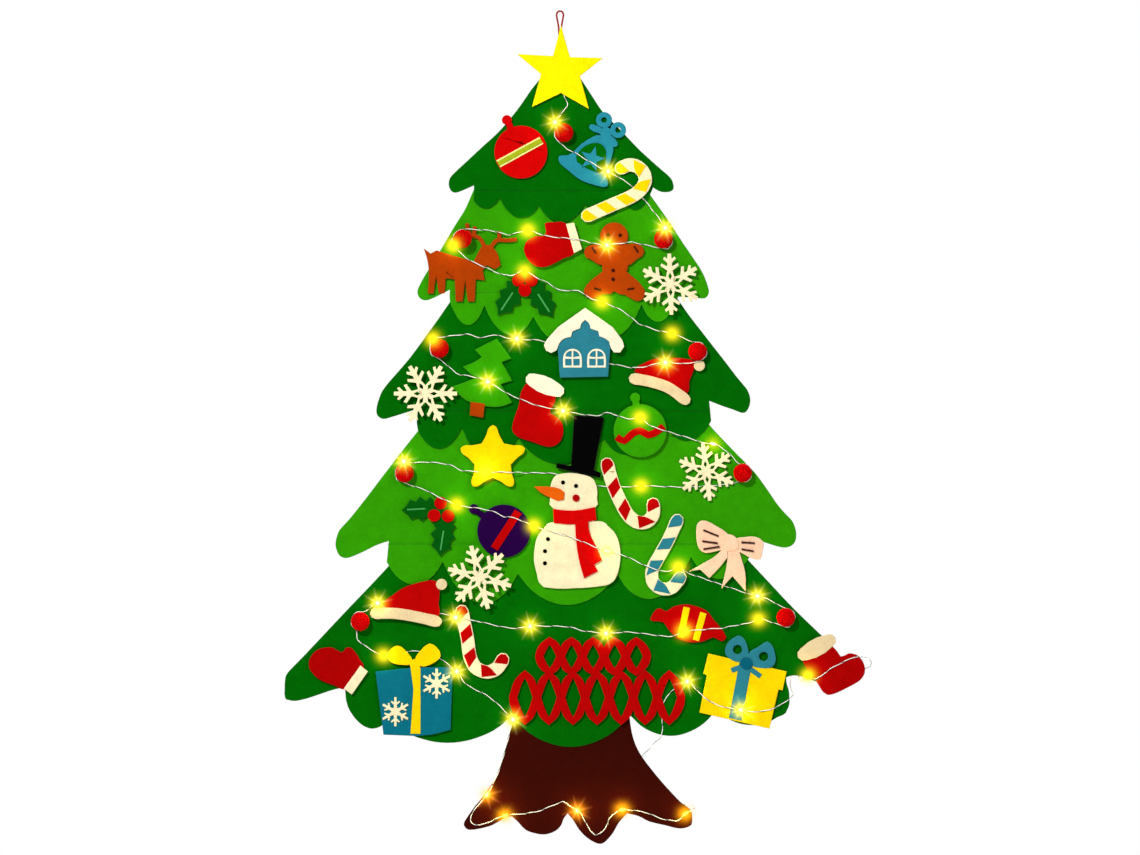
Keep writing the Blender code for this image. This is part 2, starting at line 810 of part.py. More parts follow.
def make_hollies():
    """Two sprigs of holly: two leaves with a vein and three berries each."""
    for name, sprig in HOLLIES.items():
        shapes = [("felt", leaf(*axis)) for axis in sprig["leaves"]]
        for base, tip in sprig["leaves"]:
            vein = [tuple(b + (t - b) * share for b, t in zip(base, tip)) for share in VEIN_SPAN]
            shapes.append(("trim", band(vein, VEIN_WIDTH, 1, False)))
        for berry in sprig["berries"]:
            shapes.append(("top", disc(berry, BERRY_RADIUS, SMALL_DISC_SIDES)))
        ornament(name, DARK_GREEN, sprig["centre"], shapes, HOLLY_PATCH)


FIR = (
    (497, 339), (511.5, 359), (502, 362.5), (512.5, 381), (501, 384.5), (512.5, 403),
    (500, 407), (483, 406), (466, 400.5), (452, 387), (466, 382), (475, 378.5), (463, 367),
    (474, 362.5), (482, 357.5), (475, 350),
)
FIR_TRUNK = ((471, 402), (485, 404), (483.5, 418), (470, 415.5))
FIR_PATCH = (488, 385)


def make_fir():
    """Little fir tree on a brown trunk."""
    shapes = [("felt", list(FIR)), ("trim", list(FIR_TRUNK))]
    ornament("little_tree", LIGHT_GREEN, FIR_PATCH, shapes, PATCH)


# Reindeer, gingerbread man, cottage and snowman

REINDEER = (
    (424, 249), (431, 254), (437, 251), (453, 256), (474, 262), (479, 252), (483, 245),
    (492, 246), (497, 253), (501, 266), (495, 270), (487, 266), (483, 271), (485, 281),
    (476, 280), (475, 302), (468, 302), (465.5, 281), (463, 302), (456, 302), (455, 280),
    (446, 279), (445, 294), (439, 294), (436.5, 276), (434, 294), (428, 294), (429, 270),
    (427, 258),
)
ANTLERS = (
    ((485, 248), (479, 238), (470, 235), (467, 224)),
    ((474, 237), (475, 227)),
    ((491, 248), (497, 241), (507, 241), (517, 240)),
    ((500, 242), (499, 232)),
)
ANTLER_WIDTH = 4
REINDEER_PATCH = (452, 268)


def make_reindeer():
    """Brown reindeer with branching antlers."""
    shapes = [("felt", list(REINDEER))]
    shapes.extend(("felt", band(antler, ANTLER_WIDTH, 2, False)) for antler in ANTLERS)
    ornament("reindeer", DARK_BROWN, REINDEER_PATCH, shapes, PATCH)


GINGERBREAD_CHEST = ((604, 246), (625, 246), (627, 262), (626, 282), (603, 282), (602, 262))
GINGERBREAD_HEAD = (614, 237)
GINGERBREAD_HEAD_RADIUS = 14
GINGERBREAD_ARMS = ((591, 253), (614, 252), (637, 252))
GINGERBREAD_ARM_WIDTH = 14.5
GINGERBREAD_LEGS = (((609, 277), (591.5, 292)), ((620, 277), (637.5, 294)))
GINGERBREAD_LEG_WIDTH = 16
GINGERBREAD_DOTS = ((608, 236), (620, 236), (613, 271), (613, 280))
GINGERBREAD_MARKS = (
    ((592, 248), (596, 254)), ((634, 247), (638, 253)), ((627, 290), (634, 289)),
    ((594, 289), (601, 291)),
)
GINGERBREAD_DOT_RADIUS = 2
FOLD_WIDTH = 1.8  # drawn marks and folds
GINGERBREAD_PATCH = (614, 262)


def make_gingerbread_man():
    """Gingerbread man with eyes, buttons and icing marks."""
    shapes = [
        ("felt", list(GINGERBREAD_CHEST)),
        ("felt", disc(GINGERBREAD_HEAD, GINGERBREAD_HEAD_RADIUS)),
        ("felt", band(GINGERBREAD_ARMS, GINGERBREAD_ARM_WIDTH, 1)),
    ]
    shapes.extend(("felt", band(leg, GINGERBREAD_LEG_WIDTH, 1)) for leg in GINGERBREAD_LEGS)
    shapes.extend(("trim", disc(dot, GINGERBREAD_DOT_RADIUS, 6)) for dot in GINGERBREAD_DOTS)
    shapes.extend(("trim", band(mark, FOLD_WIDTH, 1, False)) for mark in GINGERBREAD_MARKS)
    ornament("gingerbread_man", DARK_BROWN, GINGERBREAD_PATCH, shapes, PATCH)


COTTAGE_WALL = ((557, 338), (560, 378), (608, 377), (611, 338), (585, 316))
COTTAGE_ROOF = (
    (585, 308.5), (622, 340.5), (624, 347), (620, 353), (614, 353), (611, 349), (609, 342),
    (604, 338.5), (599.5, 337), (598, 331.5), (594, 330.5), (590.5, 329), (589, 324),
    (585, 320.5), (581.5, 324), (580, 329), (576, 330.5), (572.5, 332), (571, 337.5),
    (566, 338.5), (561.5, 341), (559, 346), (556.5, 351), (551, 353.5), (546, 351),
    (544, 345.5), (547, 340),
)
WINDOW_WIDTH = 18.5
WINDOW_BAR = 1.6
WINDOW_FRAME = 2
WINDOWS = ((572.5, 358.5), (596.5, 358.5))  # where each arch springs from
WINDOW_SILL = 9.5
COTTAGE_PATCH = (585, 339)


def window_outline(top, half):
    """Arched window: a half circle over a straight-sided sill part."""
    head = arc(top, half, 180, 360, 8)
    return head + [(top[0] + half, top[1] + WINDOW_SILL), (top[0] - half, top[1] + WINDOW_SILL)]


def panes(top):
    """Openings of a four-pane arched window."""
    x, y = top
    reach = WINDOW_WIDTH / 2 - WINDOW_FRAME
    bar = WINDOW_BAR / 2
    result = []
    for side in (-1, 1):
        head = [(x + side * bar, y - bar), (x + side * bar, y - reach)]
        turn = (-90, -8) if side > 0 else (-90, -172)
        head.extend(arc((x + side * bar, y - bar), reach - bar, *turn, 3)[1:])
        result.append(head)
        low, sill = y + bar, y + WINDOW_SILL - WINDOW_FRAME
        left, right = x + side * bar, x + side * reach
        result.append([(left, low), (right, low), (right, sill), (left, sill)])
    return result


def make_cottage():
    """Blue cottage with a snowy roof and two arched windows."""
    shapes = [("felt", list(COTTAGE_WALL)), ("top", list(COTTAGE_ROOF))]
    for top in WINDOWS:
        shapes.append(("trim", window_outline(top, WINDOW_WIDTH / 2), *panes(top)))
    ornament("cottage", BLUE, COTTAGE_PATCH, shapes, PATCH)


SNOWMAN_HEAD = (
    (557, 475), (571, 473), (585, 475), (593, 479), (597, 488), (597, 498), (594, 509),
    (554, 509), (550, 499), (550, 490), (552, 481),
)
SNOWMAN_BODY = (
    (554, 522), (545, 527), (538, 536), (535, 546), (534, 559), (537, 574), (544, 587),
    (575, 588), (600, 586), (611, 583), (617, 575), (620, 562), (620, 548), (616, 535),
    (608, 526), (598, 521),
)
SNOWMAN_NECK = ((556, 505), (594, 505), (594, 527), (556, 527))
SNOWMAN_DOTS = ((563, 482.5), (576, 486), (548, 539), (545, 551), (545, 563))
SNOWMAN_DOT_RADIUS = 2.2
SNOWMAN_MOUTH = (576, 498)
SNOWMAN_MOUTH_RADIUS = 3.6
SNOWMAN_PATCH = (577, 552)
SNOWMAN_HAT = (
    (574, 415.5), (604, 417.5), (594, 470), (601, 473), (600, 478), (556, 468), (557, 463),
    (571, 466),
)
HAT_MIDDLE = (585, 450)
SNOWMAN_NOSE = (
    (534, 486.5), (546, 486.5), (559, 488.5), (564.5, 492), (564, 499.5), (558, 501),
    (549, 496.5), (540, 492),
)
NOSE_MIDDLE = (555, 493)
SCARF_WRAP = ((553, 509), (574, 510.5), (595, 507), (596.5, 520), (575, 524), (554, 523))
SCARF_SHORT = (
    (588, 519), (590, 534), (596, 546), (602, 560), (591, 566), (584, 558), (579, 540), (576, 521),
)
SCARF_LONG = (
    (575, 521), (576, 540), (579, 560), (584, 578), (598, 571), (592, 560), (587, 545), (585, 521),
)
SCARF_MIDDLE = (577, 516)


def make_snowman():
    """Snowman, with a hat, a carrot nose and a scarf of their own."""
    shapes = [
        ("felt", ring(SNOWMAN_BODY, 2)),
        ("felt", ring(SNOWMAN_HEAD, 2)),
        ("felt", list(SNOWMAN_NECK)),
    ]
    shapes.extend(("trim", disc(dot, SNOWMAN_DOT_RADIUS, 7)) for dot in SNOWMAN_DOTS)
    shapes.append(("top", disc(SNOWMAN_MOUTH, SNOWMAN_MOUTH_RADIUS, SMALL_DISC_SIDES)))
    ornament("snowman", CREAM, SNOWMAN_PATCH, shapes, PATCH)
    hat = [("felt", list(SNOWMAN_HAT))]
    ornament("snowman_hat", BLACK, HAT_MIDDLE, hat, on="snowman")
    nose = [("felt", list(SNOWMAN_NOSE))]
    ornament("snowman_nose", ORANGE, NOSE_MIDDLE, nose, on="snowman")
    scarf = [
        ("felt", list(SCARF_WRAP)),
        ("felt", list(SCARF_LONG)),
        ("trim", list(SCARF_SHORT)),
    ]
    ornament("snowman_scarf", DARK_RED, SCARF_MIDDLE, scarf, on="snowman")


# Bow, gifts and garland

BOW_LEFT = (
    (728, 535), (716, 526), (704, 520.5), (697, 524), (696, 536), (698, 547), (704, 552.5),
    (714, 551.5), (727, 547),
)
BOW_RIGHT = (
    (734, 539), (744, 537), (754, 536.5), (763, 541.5), (762, 551), (760, 559), (752, 558.5),
    (744, 554.5), (734, 548),
)
BOW_TAILS = (
    (
        (727, 544), (716, 555), (703, 563), (689, 571), (700, 569.5), (709, 578), (722, 564),
        (733, 549),
    ),
    ((728, 545), (727, 560), (721, 588), (732, 576), (745, 591), (745, 574), (738, 548)),
)
BOW_KNOT = ((724, 534), (735, 537), (738, 548), (727, 551), (722, 543))
BOW_FOLDS = (
    ((703, 530), (718, 536)), ((702, 541), (717, 543)), ((703, 549), (719, 546.5)),
    ((741, 542), (754, 543)), ((741, 549), (753, 551)),
)
BOW_MIDDLE = (730, 543)
BOW_PATCH = 6


def make_pink_bow():
    """Salmon bow with two loops, two tails and fold lines."""
    shapes = [("felt", ring(BOW_LEFT, 2)), ("felt", ring(BOW_RIGHT, 2))]
    shapes.extend(("felt", list(tail)) for tail in BOW_TAILS)
    shapes.append(("trim", ring(BOW_KNOT, 2)))
    shapes.extend(("top", band(fold, FOLD_WIDTH, 1, False)) for fold in BOW_FOLDS)
    ornament("pink_bow", SALMON, BOW_MIDDLE, shapes, BOW_PATCH)


BLUE_GIFT_BOX = ((376, 671), (411, 667.5), (453, 666.5), (451, 729), (432, 734), (384, 734))
BLUE_GIFT_RIBBON = ((411, 667), (421, 667), (421, 733), (411, 733))
BLUE_GIFT_BOW = (
    ((414, 662), (403, 664.5), (392, 662), (388, 656), (391, 649), (398, 645), (406, 650)),
    ((415, 660), (421, 650), (430, 643), (438, 648), (441, 656), (433, 663), (422, 666)),
)
BLUE_GIFT_KNOT = (415.5, 664)
BLUE_KNOT_RADIUS = 5.5
GIFT_SNOW = ((437, 683, 15), (396, 711, 14.5))
BLUE_GIFT_PATCH = (400, 700)

YELLOW_GIFT_BOX = (
    (708, 653), (786, 671), (782, 690), (778, 689), (769, 728), (699, 712), (706.5, 675),
    (703, 673),
)
YELLOW_GIFT_RIBBON = ((739, 662), (751, 665), (741, 720), (728.5, 717))
YELLOW_GIFT_BOW = (
    {
        "loop": ((745, 661), (735, 661), (725, 654), (727, 643), (738, 635), (745, 641), (748, 653)),
        "hole": (737, 649),
    },
    {
        "loop": (
            (745, 662), (750, 651), (757, 647), (767, 641), (773, 648), (775, 660), (770, 667),
            (757, 667),
        ),
        "hole": (763, 656),
    },
)
YELLOW_GIFT_KNOT = (746, 663)
YELLOW_KNOT_RADIUS = 6
YELLOW_TAIL_WIDTH = 5
YELLOW_GIFT_PATCH = (735, 695)
YELLOW_GIFT_TAILS = (((744, 665), (731, 670)), ((748, 667), (760, 676)))
BOW_HOLE = 4.8


SMALL_SNOW_ARM = (
    (0.46, -0.09), (0.66, -0.32), (0.75, -0.26), (0.64, -0.09), (1, -0.08),
    (1, 0.08), (0.64, 0.09), (0.75, 0.26), (0.66, 0.32), (0.46, 0.09),
)
SMALL_SNOW_VALLEY = 0.26
SMALL_SNOW_TURN = 30


def small_snowflake(centre, size):
    """Plain six-armed snowflake for a gift."""
    points = []
    for arm in range(6):
        angle = 60 * arm + SMALL_SNOW_TURN
        points.append(polar(centre, SMALL_SNOW_VALLEY * size, angle - 30))
        for along, across in SMALL_SNOW_ARM:
            points.append(off_arm(centre, size, angle, along, across))
    return points


def make_gifts():
    """Blue and yellow gift boxes with ribbons and bows."""
    shapes = [("felt", list(BLUE_GIFT_BOX)), ("trim", list(BLUE_GIFT_RIBBON))]
    for loop in BLUE_GIFT_BOW:
        shapes.append(("trim", ring(loop, 2)))
    shapes.append(("trim", disc(BLUE_GIFT_KNOT, BLUE_KNOT_RADIUS, SMALL_DISC_SIDES)))
    shapes.extend(("top", small_snowflake((x, y), size)) for x, y, size in GIFT_SNOW)
    ornament("blue_gift", BLUE, BLUE_GIFT_PATCH, shapes, PATCH)

    shapes = [("felt", list(YELLOW_GIFT_BOX)), ("trim", list(YELLOW_GIFT_RIBBON))]
    for part in YELLOW_GIFT_BOW:
        shapes.append(("trim", ring(part["loop"], 2), disc(part["hole"], BOW_HOLE, 8)))
    for tail in YELLOW_GIFT_TAILS:
        shapes.append(("trim", band(tail, YELLOW_TAIL_WIDTH, 1, False)))
    shapes.append(("top", disc(YELLOW_GIFT_KNOT, YELLOW_KNOT_RADIUS, SMALL_DISC_SIDES)))
    ornament("yellow_gift", YELLOW, YELLOW_GIFT_PATCH, shapes, PATCH)


GARLAND = (
    {"middle": (593, 656), "lenses": 5, "half": 54, "swing": 15.5},
    {"middle": (597, 697), "lenses": 7, "half": 84, "swing": 23.5},
)
GARLAND_WIDTH = 8
GARLAND_STEPS = 4  # points in each lens
GARLAND_MIDDLE = (593, 672)
GARLAND_PATCH = 3


def garland_strand(row, side):
    """One swinging strand of a garland row, with the crossings at its ends."""
    x, y = row["middle"]
    count = row["lenses"] * GARLAND_STEPS
    points = []
    for i in range(count + 1):
        along = x - row["half"] + 2 * row["half"] * i / count
        swing = math.sin(math.pi * i / GARLAND_STEPS)
        points.append((along, y + side * row["swing"] * swing))
    return points


def make_garland():
    """Two rows of a red paper-chain garland, four strands fused where they cross."""
    shapes = []
    for row in GARLAND:
        for side in (-1, 1):
            shapes.append(("felt", band(garland_strand(row, side), GARLAND_WIDTH, 1)))
    ornament("red_garland", RED, GARLAND_MIDDLE, shapes, GARLAND_PATCH)


# Pompoms

POMPOMS = {
    "pompom_1": (564, 134), "pompom_2": (463, 240), "pompom_3": (663, 240),
    "pompom_4": (440, 349), "pompom_5": (697, 352), "pompom_6": (405, 473),
    "pompom_7": (742, 473), "pompom_8": (361, 621), "pompom_9": (785, 617),
}


def make_pompoms():
    """Round pompoms that are cut flat where they are glued to their tier."""
    for name, centre in POMPOMS.items():
        base = depth_under(disc(centre, POMPOM_RADIUS / GRID, SMALL_DISC_SIDES))
        ball = bmesh.new()
        bmesh.ops.create_uvsphere(
            ball, u_segments=POMPOM_SEGMENTS, v_segments=POMPOM_RINGS, radius=POMPOM_RADIUS
        )
        cut = bmesh.ops.bisect_plane(
            ball, geom=ball.verts[:] + ball.edges[:] + ball.faces[:],
            plane_co=(0, POMPOM_CENTRE - GAP, 0), plane_no=(0, 1, 0), clear_outer=True,
        )
        rim = [edge for edge in cut["geom_cut"] if isinstance(edge, bmesh.types.BMEdge)]
        bmesh.ops.holes_fill(ball, edges=rim)
        place = on_sheet(centre, base + POMPOM_CENTRE)
        item = link(name, closed_mesh(name, ball), TREE, place)
        item.data.shade_smooth()
        paint(item, RED, 1)
        reach = disc(centre, POMPOM_COVER, SMALL_DISC_SIDES)
        cover(name, reach, base + POMPOM_CENTRE + POMPOM_RADIUS)


# Hanging loop

LOOP_CORD = 0.0022
LOOP_EYE = 0.0056  # clear width of the eye
LOOP_LENGTH = 0.062
LOOP_NECK = 0.022  # where the two strands come together
LOOP_STEPS = 8
LOOP_SIDES = 1
LOOP_END_TURN = 4


def make_loop():
    """Red cord that makes a long narrow eye, with its ends behind the top tier."""
    radius = LOOP_CORD / 2
    half = LOOP_EYE / 2 + radius
    close = radius + GAP
    right = [Vector((close, 0, radius - LOOP_LENGTH)), Vector((close, 0, radius - LOOP_NECK))]
    right.append(Vector((half, 0, -LOOP_EYE)))
    head = []
    for i in range(LOOP_STEPS + 1):
        angle = math.pi * i / LOOP_STEPS
        head.append(Vector((half * math.cos(angle), 0, radius - half + half * math.sin(angle))))
    left = [Vector((-p.x, 0, p.z)) for p in reversed(right)]
    foot = []
    for i in range(1, LOOP_END_TURN):
        angle = math.pi * i / LOOP_END_TURN
        drop = close * math.sin(angle)
        foot.append(Vector((-close * math.cos(angle), 0, radius - LOOP_LENGTH - drop)))
    data = bpy.data.curves.new("hanging_loop", "CURVE")
    data.dimensions = "3D"
    data.bevel_depth = radius
    data.bevel_resolution = LOOP_SIDES
    spline = data.splines.new("POLY")
    points = right + head + left + foot
    spline.points.add(len(points) - 1)
    for point, place in zip(spline.points, points):
        point.co = (*place, 1)
    spline.use_cyclic_u = True
    paint(link("hanging_loop", data), RED, 0.8)


# Battery box behind the bottom tier, upright against the wall

BOX_PLACE = (700, 640)
BOX_WALL = 0.0015
BOX_TOP_WALL = 0.0030
BOX_SIDE = 0.0065  # room for the contacts and the gland beside the cells
BOX_LIP = 0.0012
BOX_LIP_REACH = 0.0025
CELLS = 3
CELL_RADIUS = 0.00715
CELL_LENGTH = 0.0495
CELL_TIP_RADIUS = 0.0027
CELL_TIP = 0.0010
CELL_GAP = 0.0004
CELL_PITCH = 2 * CELL_RADIUS + CELL_GAP
CELL_SIDES = 16
CELL_ROOM = 2 * CELL_RADIUS + 0.0007
CELL_ROOM_WIDTH = CELL_LENGTH + 2 * CELL_TIP + 0.0015
CELL_ROOM_HEIGHT = (CELLS - 1) * CELL_PITCH + 2 * CELL_RADIUS + 0.0018
BOX_WIDTH = CELL_ROOM_WIDTH + 2 * BOX_SIDE
BOX_HEIGHT = BOX_WALL + CELL_ROOM_HEIGHT + BOX_TOP_WALL
COVER_THICKNESS = 0.0016
COVER_SLOT = COVER_THICKNESS + 2 * GAP
BOX_DEPTH = BOX_WALL + CELL_ROOM + COVER_SLOT + BOX_LIP
BOX_CLEAR = 0.0005
GLAND_RADIUS = 0.0026
GLAND_LENGTH = 0.0030
SWITCH = (0.0080, 0.0048, 0.0026)
SWITCH_TRAVEL = 0.0040
SWITCH_WELL = 0.0012
CUT_PAST = 0.0010  # how far a cutter runs out of a face


def block(name, low, high, parent=None):
    """Box between two corners, with its origin in its middle."""
    middle = (Vector(low) + Vector(high)) / 2
    size = Vector(high) - Vector(low)
    solid = bmesh.new()
    bmesh.ops.create_cube(solid, size=1)
    bmesh.ops.scale(solid, vec=size, verts=solid.verts)
    return link(name, closed_mesh(name, solid), parent, middle)


def rod(name, radius, length, centre, sides):
    """Cylinder along X."""
    solid = bmesh.new()
    bmesh.ops.create_cone(
        solid, cap_ends=True, segments=sides, radius1=radius, radius2=radius, depth=length
    )
    item = link(name, closed_mesh(name, solid), None, centre)
    item.rotation_euler.y = math.pi / 2
    return item


def combine(item, other, operation):
    """Leave a Boolean on an object, with the other object hidden as its guide."""
    cut = item.modifiers.new(other.name, "BOOLEAN")
    cut.operation = operation
    cut.object = other
    other.hide_render = True
    other.display_type = "WIRE"


def box_front():
    """World Y of the box's front, just clear of the bottom tier's back."""
    top = on_sheet(BOX_PLACE, tier_back(TIERS)) + Vector((0, 0, BOX_HEIGHT / 2))
    return (TREE.matrix_world @ top).y + BOX_CLEAR


def make_battery_box():
    """Battery box with a sliding cover, a switch and three cells; returns the gland's face."""
    middle = on_sheet(BOX_PLACE, 0)
    left, right = middle.x - BOX_WIDTH / 2, middle.x + BOX_WIDTH / 2
    low, high = middle.z - BOX_HEIGHT / 2, middle.z + BOX_HEIGHT / 2
    front = box_front()
    back = front + BOX_DEPTH
    box = block("battery_box", (left, front, low), (right, back, high))
    room_low, room_high = low + BOX_WALL, high - BOX_TOP_WALL
    slot = front + BOX_LIP
    room = slot + COVER_SLOT
    half = CELL_ROOM_WIDTH / 2
    hollow = block(
        "cell_room",
        (middle.x - half, slot + GAP, room_low),
        (middle.x + half, back - BOX_WALL, room_high),
    )
    combine(box, hollow, "DIFFERENCE")
    channel = block(
        "cover_channel",
        (left + BOX_WALL, slot, low - CUT_PAST),
        (right - BOX_WALL, room, room_high),
    )
    combine(box, channel, "DIFFERENCE")
    lip = BOX_WALL + BOX_LIP_REACH
    mouth = block(
        "cover_mouth",
        (left + lip, front - CUT_PAST, low - CUT_PAST),
        (right - lip, room, room_high),
    )
    combine(box, mouth, "DIFFERENCE")
    depth = (front + back) / 2
    reach, across, _ = SWITCH
    well = block(
        "switch_well",
        (middle.x - reach / 2 - GAP, depth - across / 2 - GAP, high - SWITCH_WELL),
        (middle.x + reach / 2 + SWITCH_TRAVEL + GAP, depth + across / 2 + GAP, high + CUT_PAST),
    )
    combine(box, well, "DIFFERENCE")
    side = (right, depth, middle.z)
    gland = rod("wire_gland", GLAND_RADIUS, GLAND_LENGTH * 2, side, SMALL_DISC_SIDES)
    combine(box, gland, "UNION")
    paint(box, BOX_WHITE, 0.4)

    cover_plate = block(
        "battery_cover",
        (left + BOX_WALL + GAP, slot + GAP, low),
        (right - BOX_WALL - GAP, slot + GAP + COVER_THICKNESS, room_high - GAP),
    )
    paint(cover_plate, BOX_WHITE, 0.4)
    slider = block(
        "switch_slider",
        (middle.x - reach / 2, depth - across / 2, high - SWITCH_WELL + GAP),
        (middle.x + reach / 2, depth + across / 2, high - SWITCH_WELL + GAP + SWITCH[2]),
    )
    paint(slider, SWITCH_GREY, 0.5)

    cell_depth = room + CELL_ROOM / 2
    for number in range(1, CELLS + 1):
        height = (room_low + room_high) / 2 + CELL_PITCH * ((CELLS + 1) / 2 - number)
        turn = 1 if number % 2 else -1
        centre = Vector((middle.x, cell_depth, height))
        cell = rod("cell_" + str(number), CELL_RADIUS, CELL_LENGTH, centre, CELL_SIDES)
        tip_place = centre + Vector((turn * CELL_LENGTH / 2, 0, 0))
        tip = rod(cell.name + "_tip", CELL_TIP_RADIUS, CELL_TIP * 2, tip_place, SMALL_DISC_SIDES)
        combine(cell, tip, "UNION")
        paint(cell, CELL_GREEN, 0.35, 0.2)
    return Vector((right + GLAND_LENGTH, depth, middle.z))


# String of lights: one wire with a bulb about every 10 cm, from the top star to the battery box

WIRE_LIFT = WIRE_CLEAR + WIRE_RADIUS
BEHIND_TRUNK = -WIRE_LIFT
ROUND_EDGE = 0.0010
UNDER_TIER_5 = TIER_STEP - WIRE_LIFT
EDGE_OF_TIER_5 = TIER_STEP + FELT / 2
ON_TIER_5 = TIER_STEP + FELT + WIRE_LIFT
OVER_BOOT = ON_TIER_5 + LAYERS["felt"][1]

# Ornaments that the wire passes behind, each down to a line across the sheet
SHEET_END = 855
PASSES_BEHIND = {
    "top_star": SHEET_END, "yellow_candy_cane": SHEET_END, "cottage": SHEET_END,
    "snowflake_3": SHEET_END, "upper_red_cane": SHEET_END, "snowman": 508,
    "snowman_hat": SHEET_END, "pink_bow": SHEET_END, "left_santa_hat": SHEET_END,
    "blue_gift": SHEET_END, "red_garland": SHEET_END,
}

# The route is hand-set pattern points; a third number is a set depth, and a turn round a pompom
# is its name with the angles where the turn starts and ends
LIGHT_ROUTE = (
    (561, 88), (565, 98), (567, 107), (561, 115), (555, 123),
    ("pompom_1", 210, 110), (566, 149), (575, 154), (588, 162), (600, 169), (608, 172.5),
    (620, 179), (632, 187), (646, 203), (654, 212), (661, 221), (665, 228.5),
    ("pompom_3", -40, 110), (645, 245), (628, 243), (607, 246), (597, 245), (585, 242),
    (565, 239), (553, 238), (543, 236), (528, 231), (512, 235), (500, 234), (490, 231),
    (478, 230.5), (468, 230), (459, 231), (452, 239), (453.5, 246), (459, 252), (470, 261),
    (482, 266), (492, 271), (503, 275), (512, 276), (525, 272), (537, 279), (548, 283),
    (558, 290), (570, 291), (580, 292), (590, 299), (602, 302), (615, 308), (625, 313),
    (637, 323), (645, 326), (655, 330), (672, 334), (685, 339), (694, 342.5),
    ("pompom_5", -70, 90), (686, 364), (665, 363), (655, 364), (645, 367), (632, 368),
    (615, 364), (585, 358), (560, 348), (545, 342), (530, 341), (517, 339), (505, 338), (495, 335),
    (482, 338), (470, 335), (458, 335), (447, 337), (433, 339), (430, 347), (433, 356),
    (442, 361), (450, 368), (458, 374), (468, 376), (478, 378), (488, 382), (502, 391),
    (512, 396), (525, 401), (538, 406), (550, 408), (563, 411), (572, 413), (584, 414),
    (595, 416), (606, 413), (615, 415), (627, 419), (640, 418), (650, 426), (660, 429),
    (665, 431), (682, 436), (693, 439), (702, 443), (713, 444), (725, 450), (735, 460),
    ("pompom_7", -105, 110), (730, 484), (706, 486), (676, 487), (660, 486), (641, 486),
    (625, 487), (598, 486), (576, 480), (555, 474), (540, 474), (525, 473), (507, 472),
    (486, 472), (470, 471), (460, 470), (450, 465), (440, 464), (425, 462), (415, 463),
    (404, 461.5), ("pompom_6", 215, 100), (412, 486), (418, 487), (428, 491), (437, 496),
    (446, 500), (457, 505), (470, 507), (482, 509), (492, 511), (502, 516), (515, 518),
    (534, 526), (545, 530), (574, 538), (592, 546), (607, 551), (620, 554), (632, 559),
    (640, 563), (649, 567), (658, 570), (668, 571), (678, 567), (688, 573), (700, 577),
    (712, 581), (725, 586), (738, 590), (748, 594), (757, 596), (770, 600), (781, 606.5),
    ("pompom_9", -80, 130), (768, 620), (758, 619), (748, 623), (735, 625), (720, 628),
    (703, 629), (684, 631), (675, 635), (660, 636), (645, 634), (630, 632), (615, 633),
    (606, 633), (593, 632), (580, 630), (570, 627), (558, 626), (545, 626), (530, 626),
    (518, 628), (505, 627), (492, 625), (482, 622), (472, 620), (456, 617), (447, 615),
    (440, 613), (420, 612), (400, 609), (388, 605), (378, 603), (370, 608),
    ("pompom_8", -75, -240), (358, 639), (366, 646), (376, 652), (384, 655), (396, 653),
    (412, 651), (430, 652), (443, 660), (457, 671), (462, 678), (468, 685), (478, 691),
    (490, 697), (497, 704), (505, 711), (513, 719), (511, 728), (507, 742), (503, 757),
    (499, 770), (494, 782), (487, 794), (478, 804), (471, 816), (473, 823), (482, 824),
    (492, 820), (505, 815), (515, 814), (526, 813), (540, 810), (553, 804), (564, 802),
    (577, 810), (584, 817), (589, 828), (597, 834), (605, 828), (611, 816), (622, 809),
    (640, 811), (650, 813), (658, 817), (667, 819), (677, 820), (685, 813),
    (694, 808, ROUND_EDGE), (689, 804, BEHIND_TRUNK), (676, 803, BEHIND_TRUNK),
    (655, 784, BEHIND_TRUNK), (643, 768, BEHIND_TRUNK), (642, 757, BEHIND_TRUNK),
    (648, 750, BEHIND_TRUNK), (652, 745, ROUND_EDGE), (656, 741, UNDER_TIER_5 + FELT),
    (660, 737, ON_TIER_5), (662, 730, ON_TIER_5), (662, 722), (662, 710), (666, 697),
    (675, 688), (687, 681), (694, 687), (702, 695), (714, 703), (727, 707), (740, 709),
    (752, 711), (764, 710), (774, 707), (782, 703), (788, 699), (793, 693, EDGE_OF_TIER_5),
    (790, 685, UNDER_TIER_5), (791, 676, UNDER_TIER_5), (795, 671, UNDER_TIER_5),
    (798.5, 674, UNDER_TIER_5), (799, 678.5, UNDER_TIER_5), (801, 682, EDGE_OF_TIER_5),
    (803.5, 679, ON_TIER_5), (807, 675), (811.5, 677.5), (816, 678), (822, 674),
    (830, 668), (840, 663), (850, 658),
    (858, 656), (866, 657, OVER_BOOT), (870, 661, ON_TIER_5 + FELT), (868, 667, ON_TIER_5),
    (854, 671, ON_TIER_5), (841, 673, UNDER_TIER_5), (828, 671, UNDER_TIER_5),
    (800, 656, UNDER_TIER_5), (770, 645, UNDER_TIER_5),
)
BULBS = (
    (555, 123), (608, 172.5), (665, 228.5), (607, 246), (528, 231), (453.5, 246), (525, 272),
    (602, 302), (672, 334), (665, 363), (517, 339), (433, 339), (488, 382), (563, 411),
    (640, 418), (713, 444), (641, 486), (486, 472), (404, 461.5), (457, 505), (534, 526),
    (607, 551), (678, 567), (757, 596), (758, 619), (684, 631), (606, 633), (530, 626),
    (456, 617), (378, 603), (384, 655), (457, 671), (513, 719), (487, 794), (505, 815),
    (577, 810), (622, 809), (685, 813), (687, 681), (740, 709), (807, 675),
)


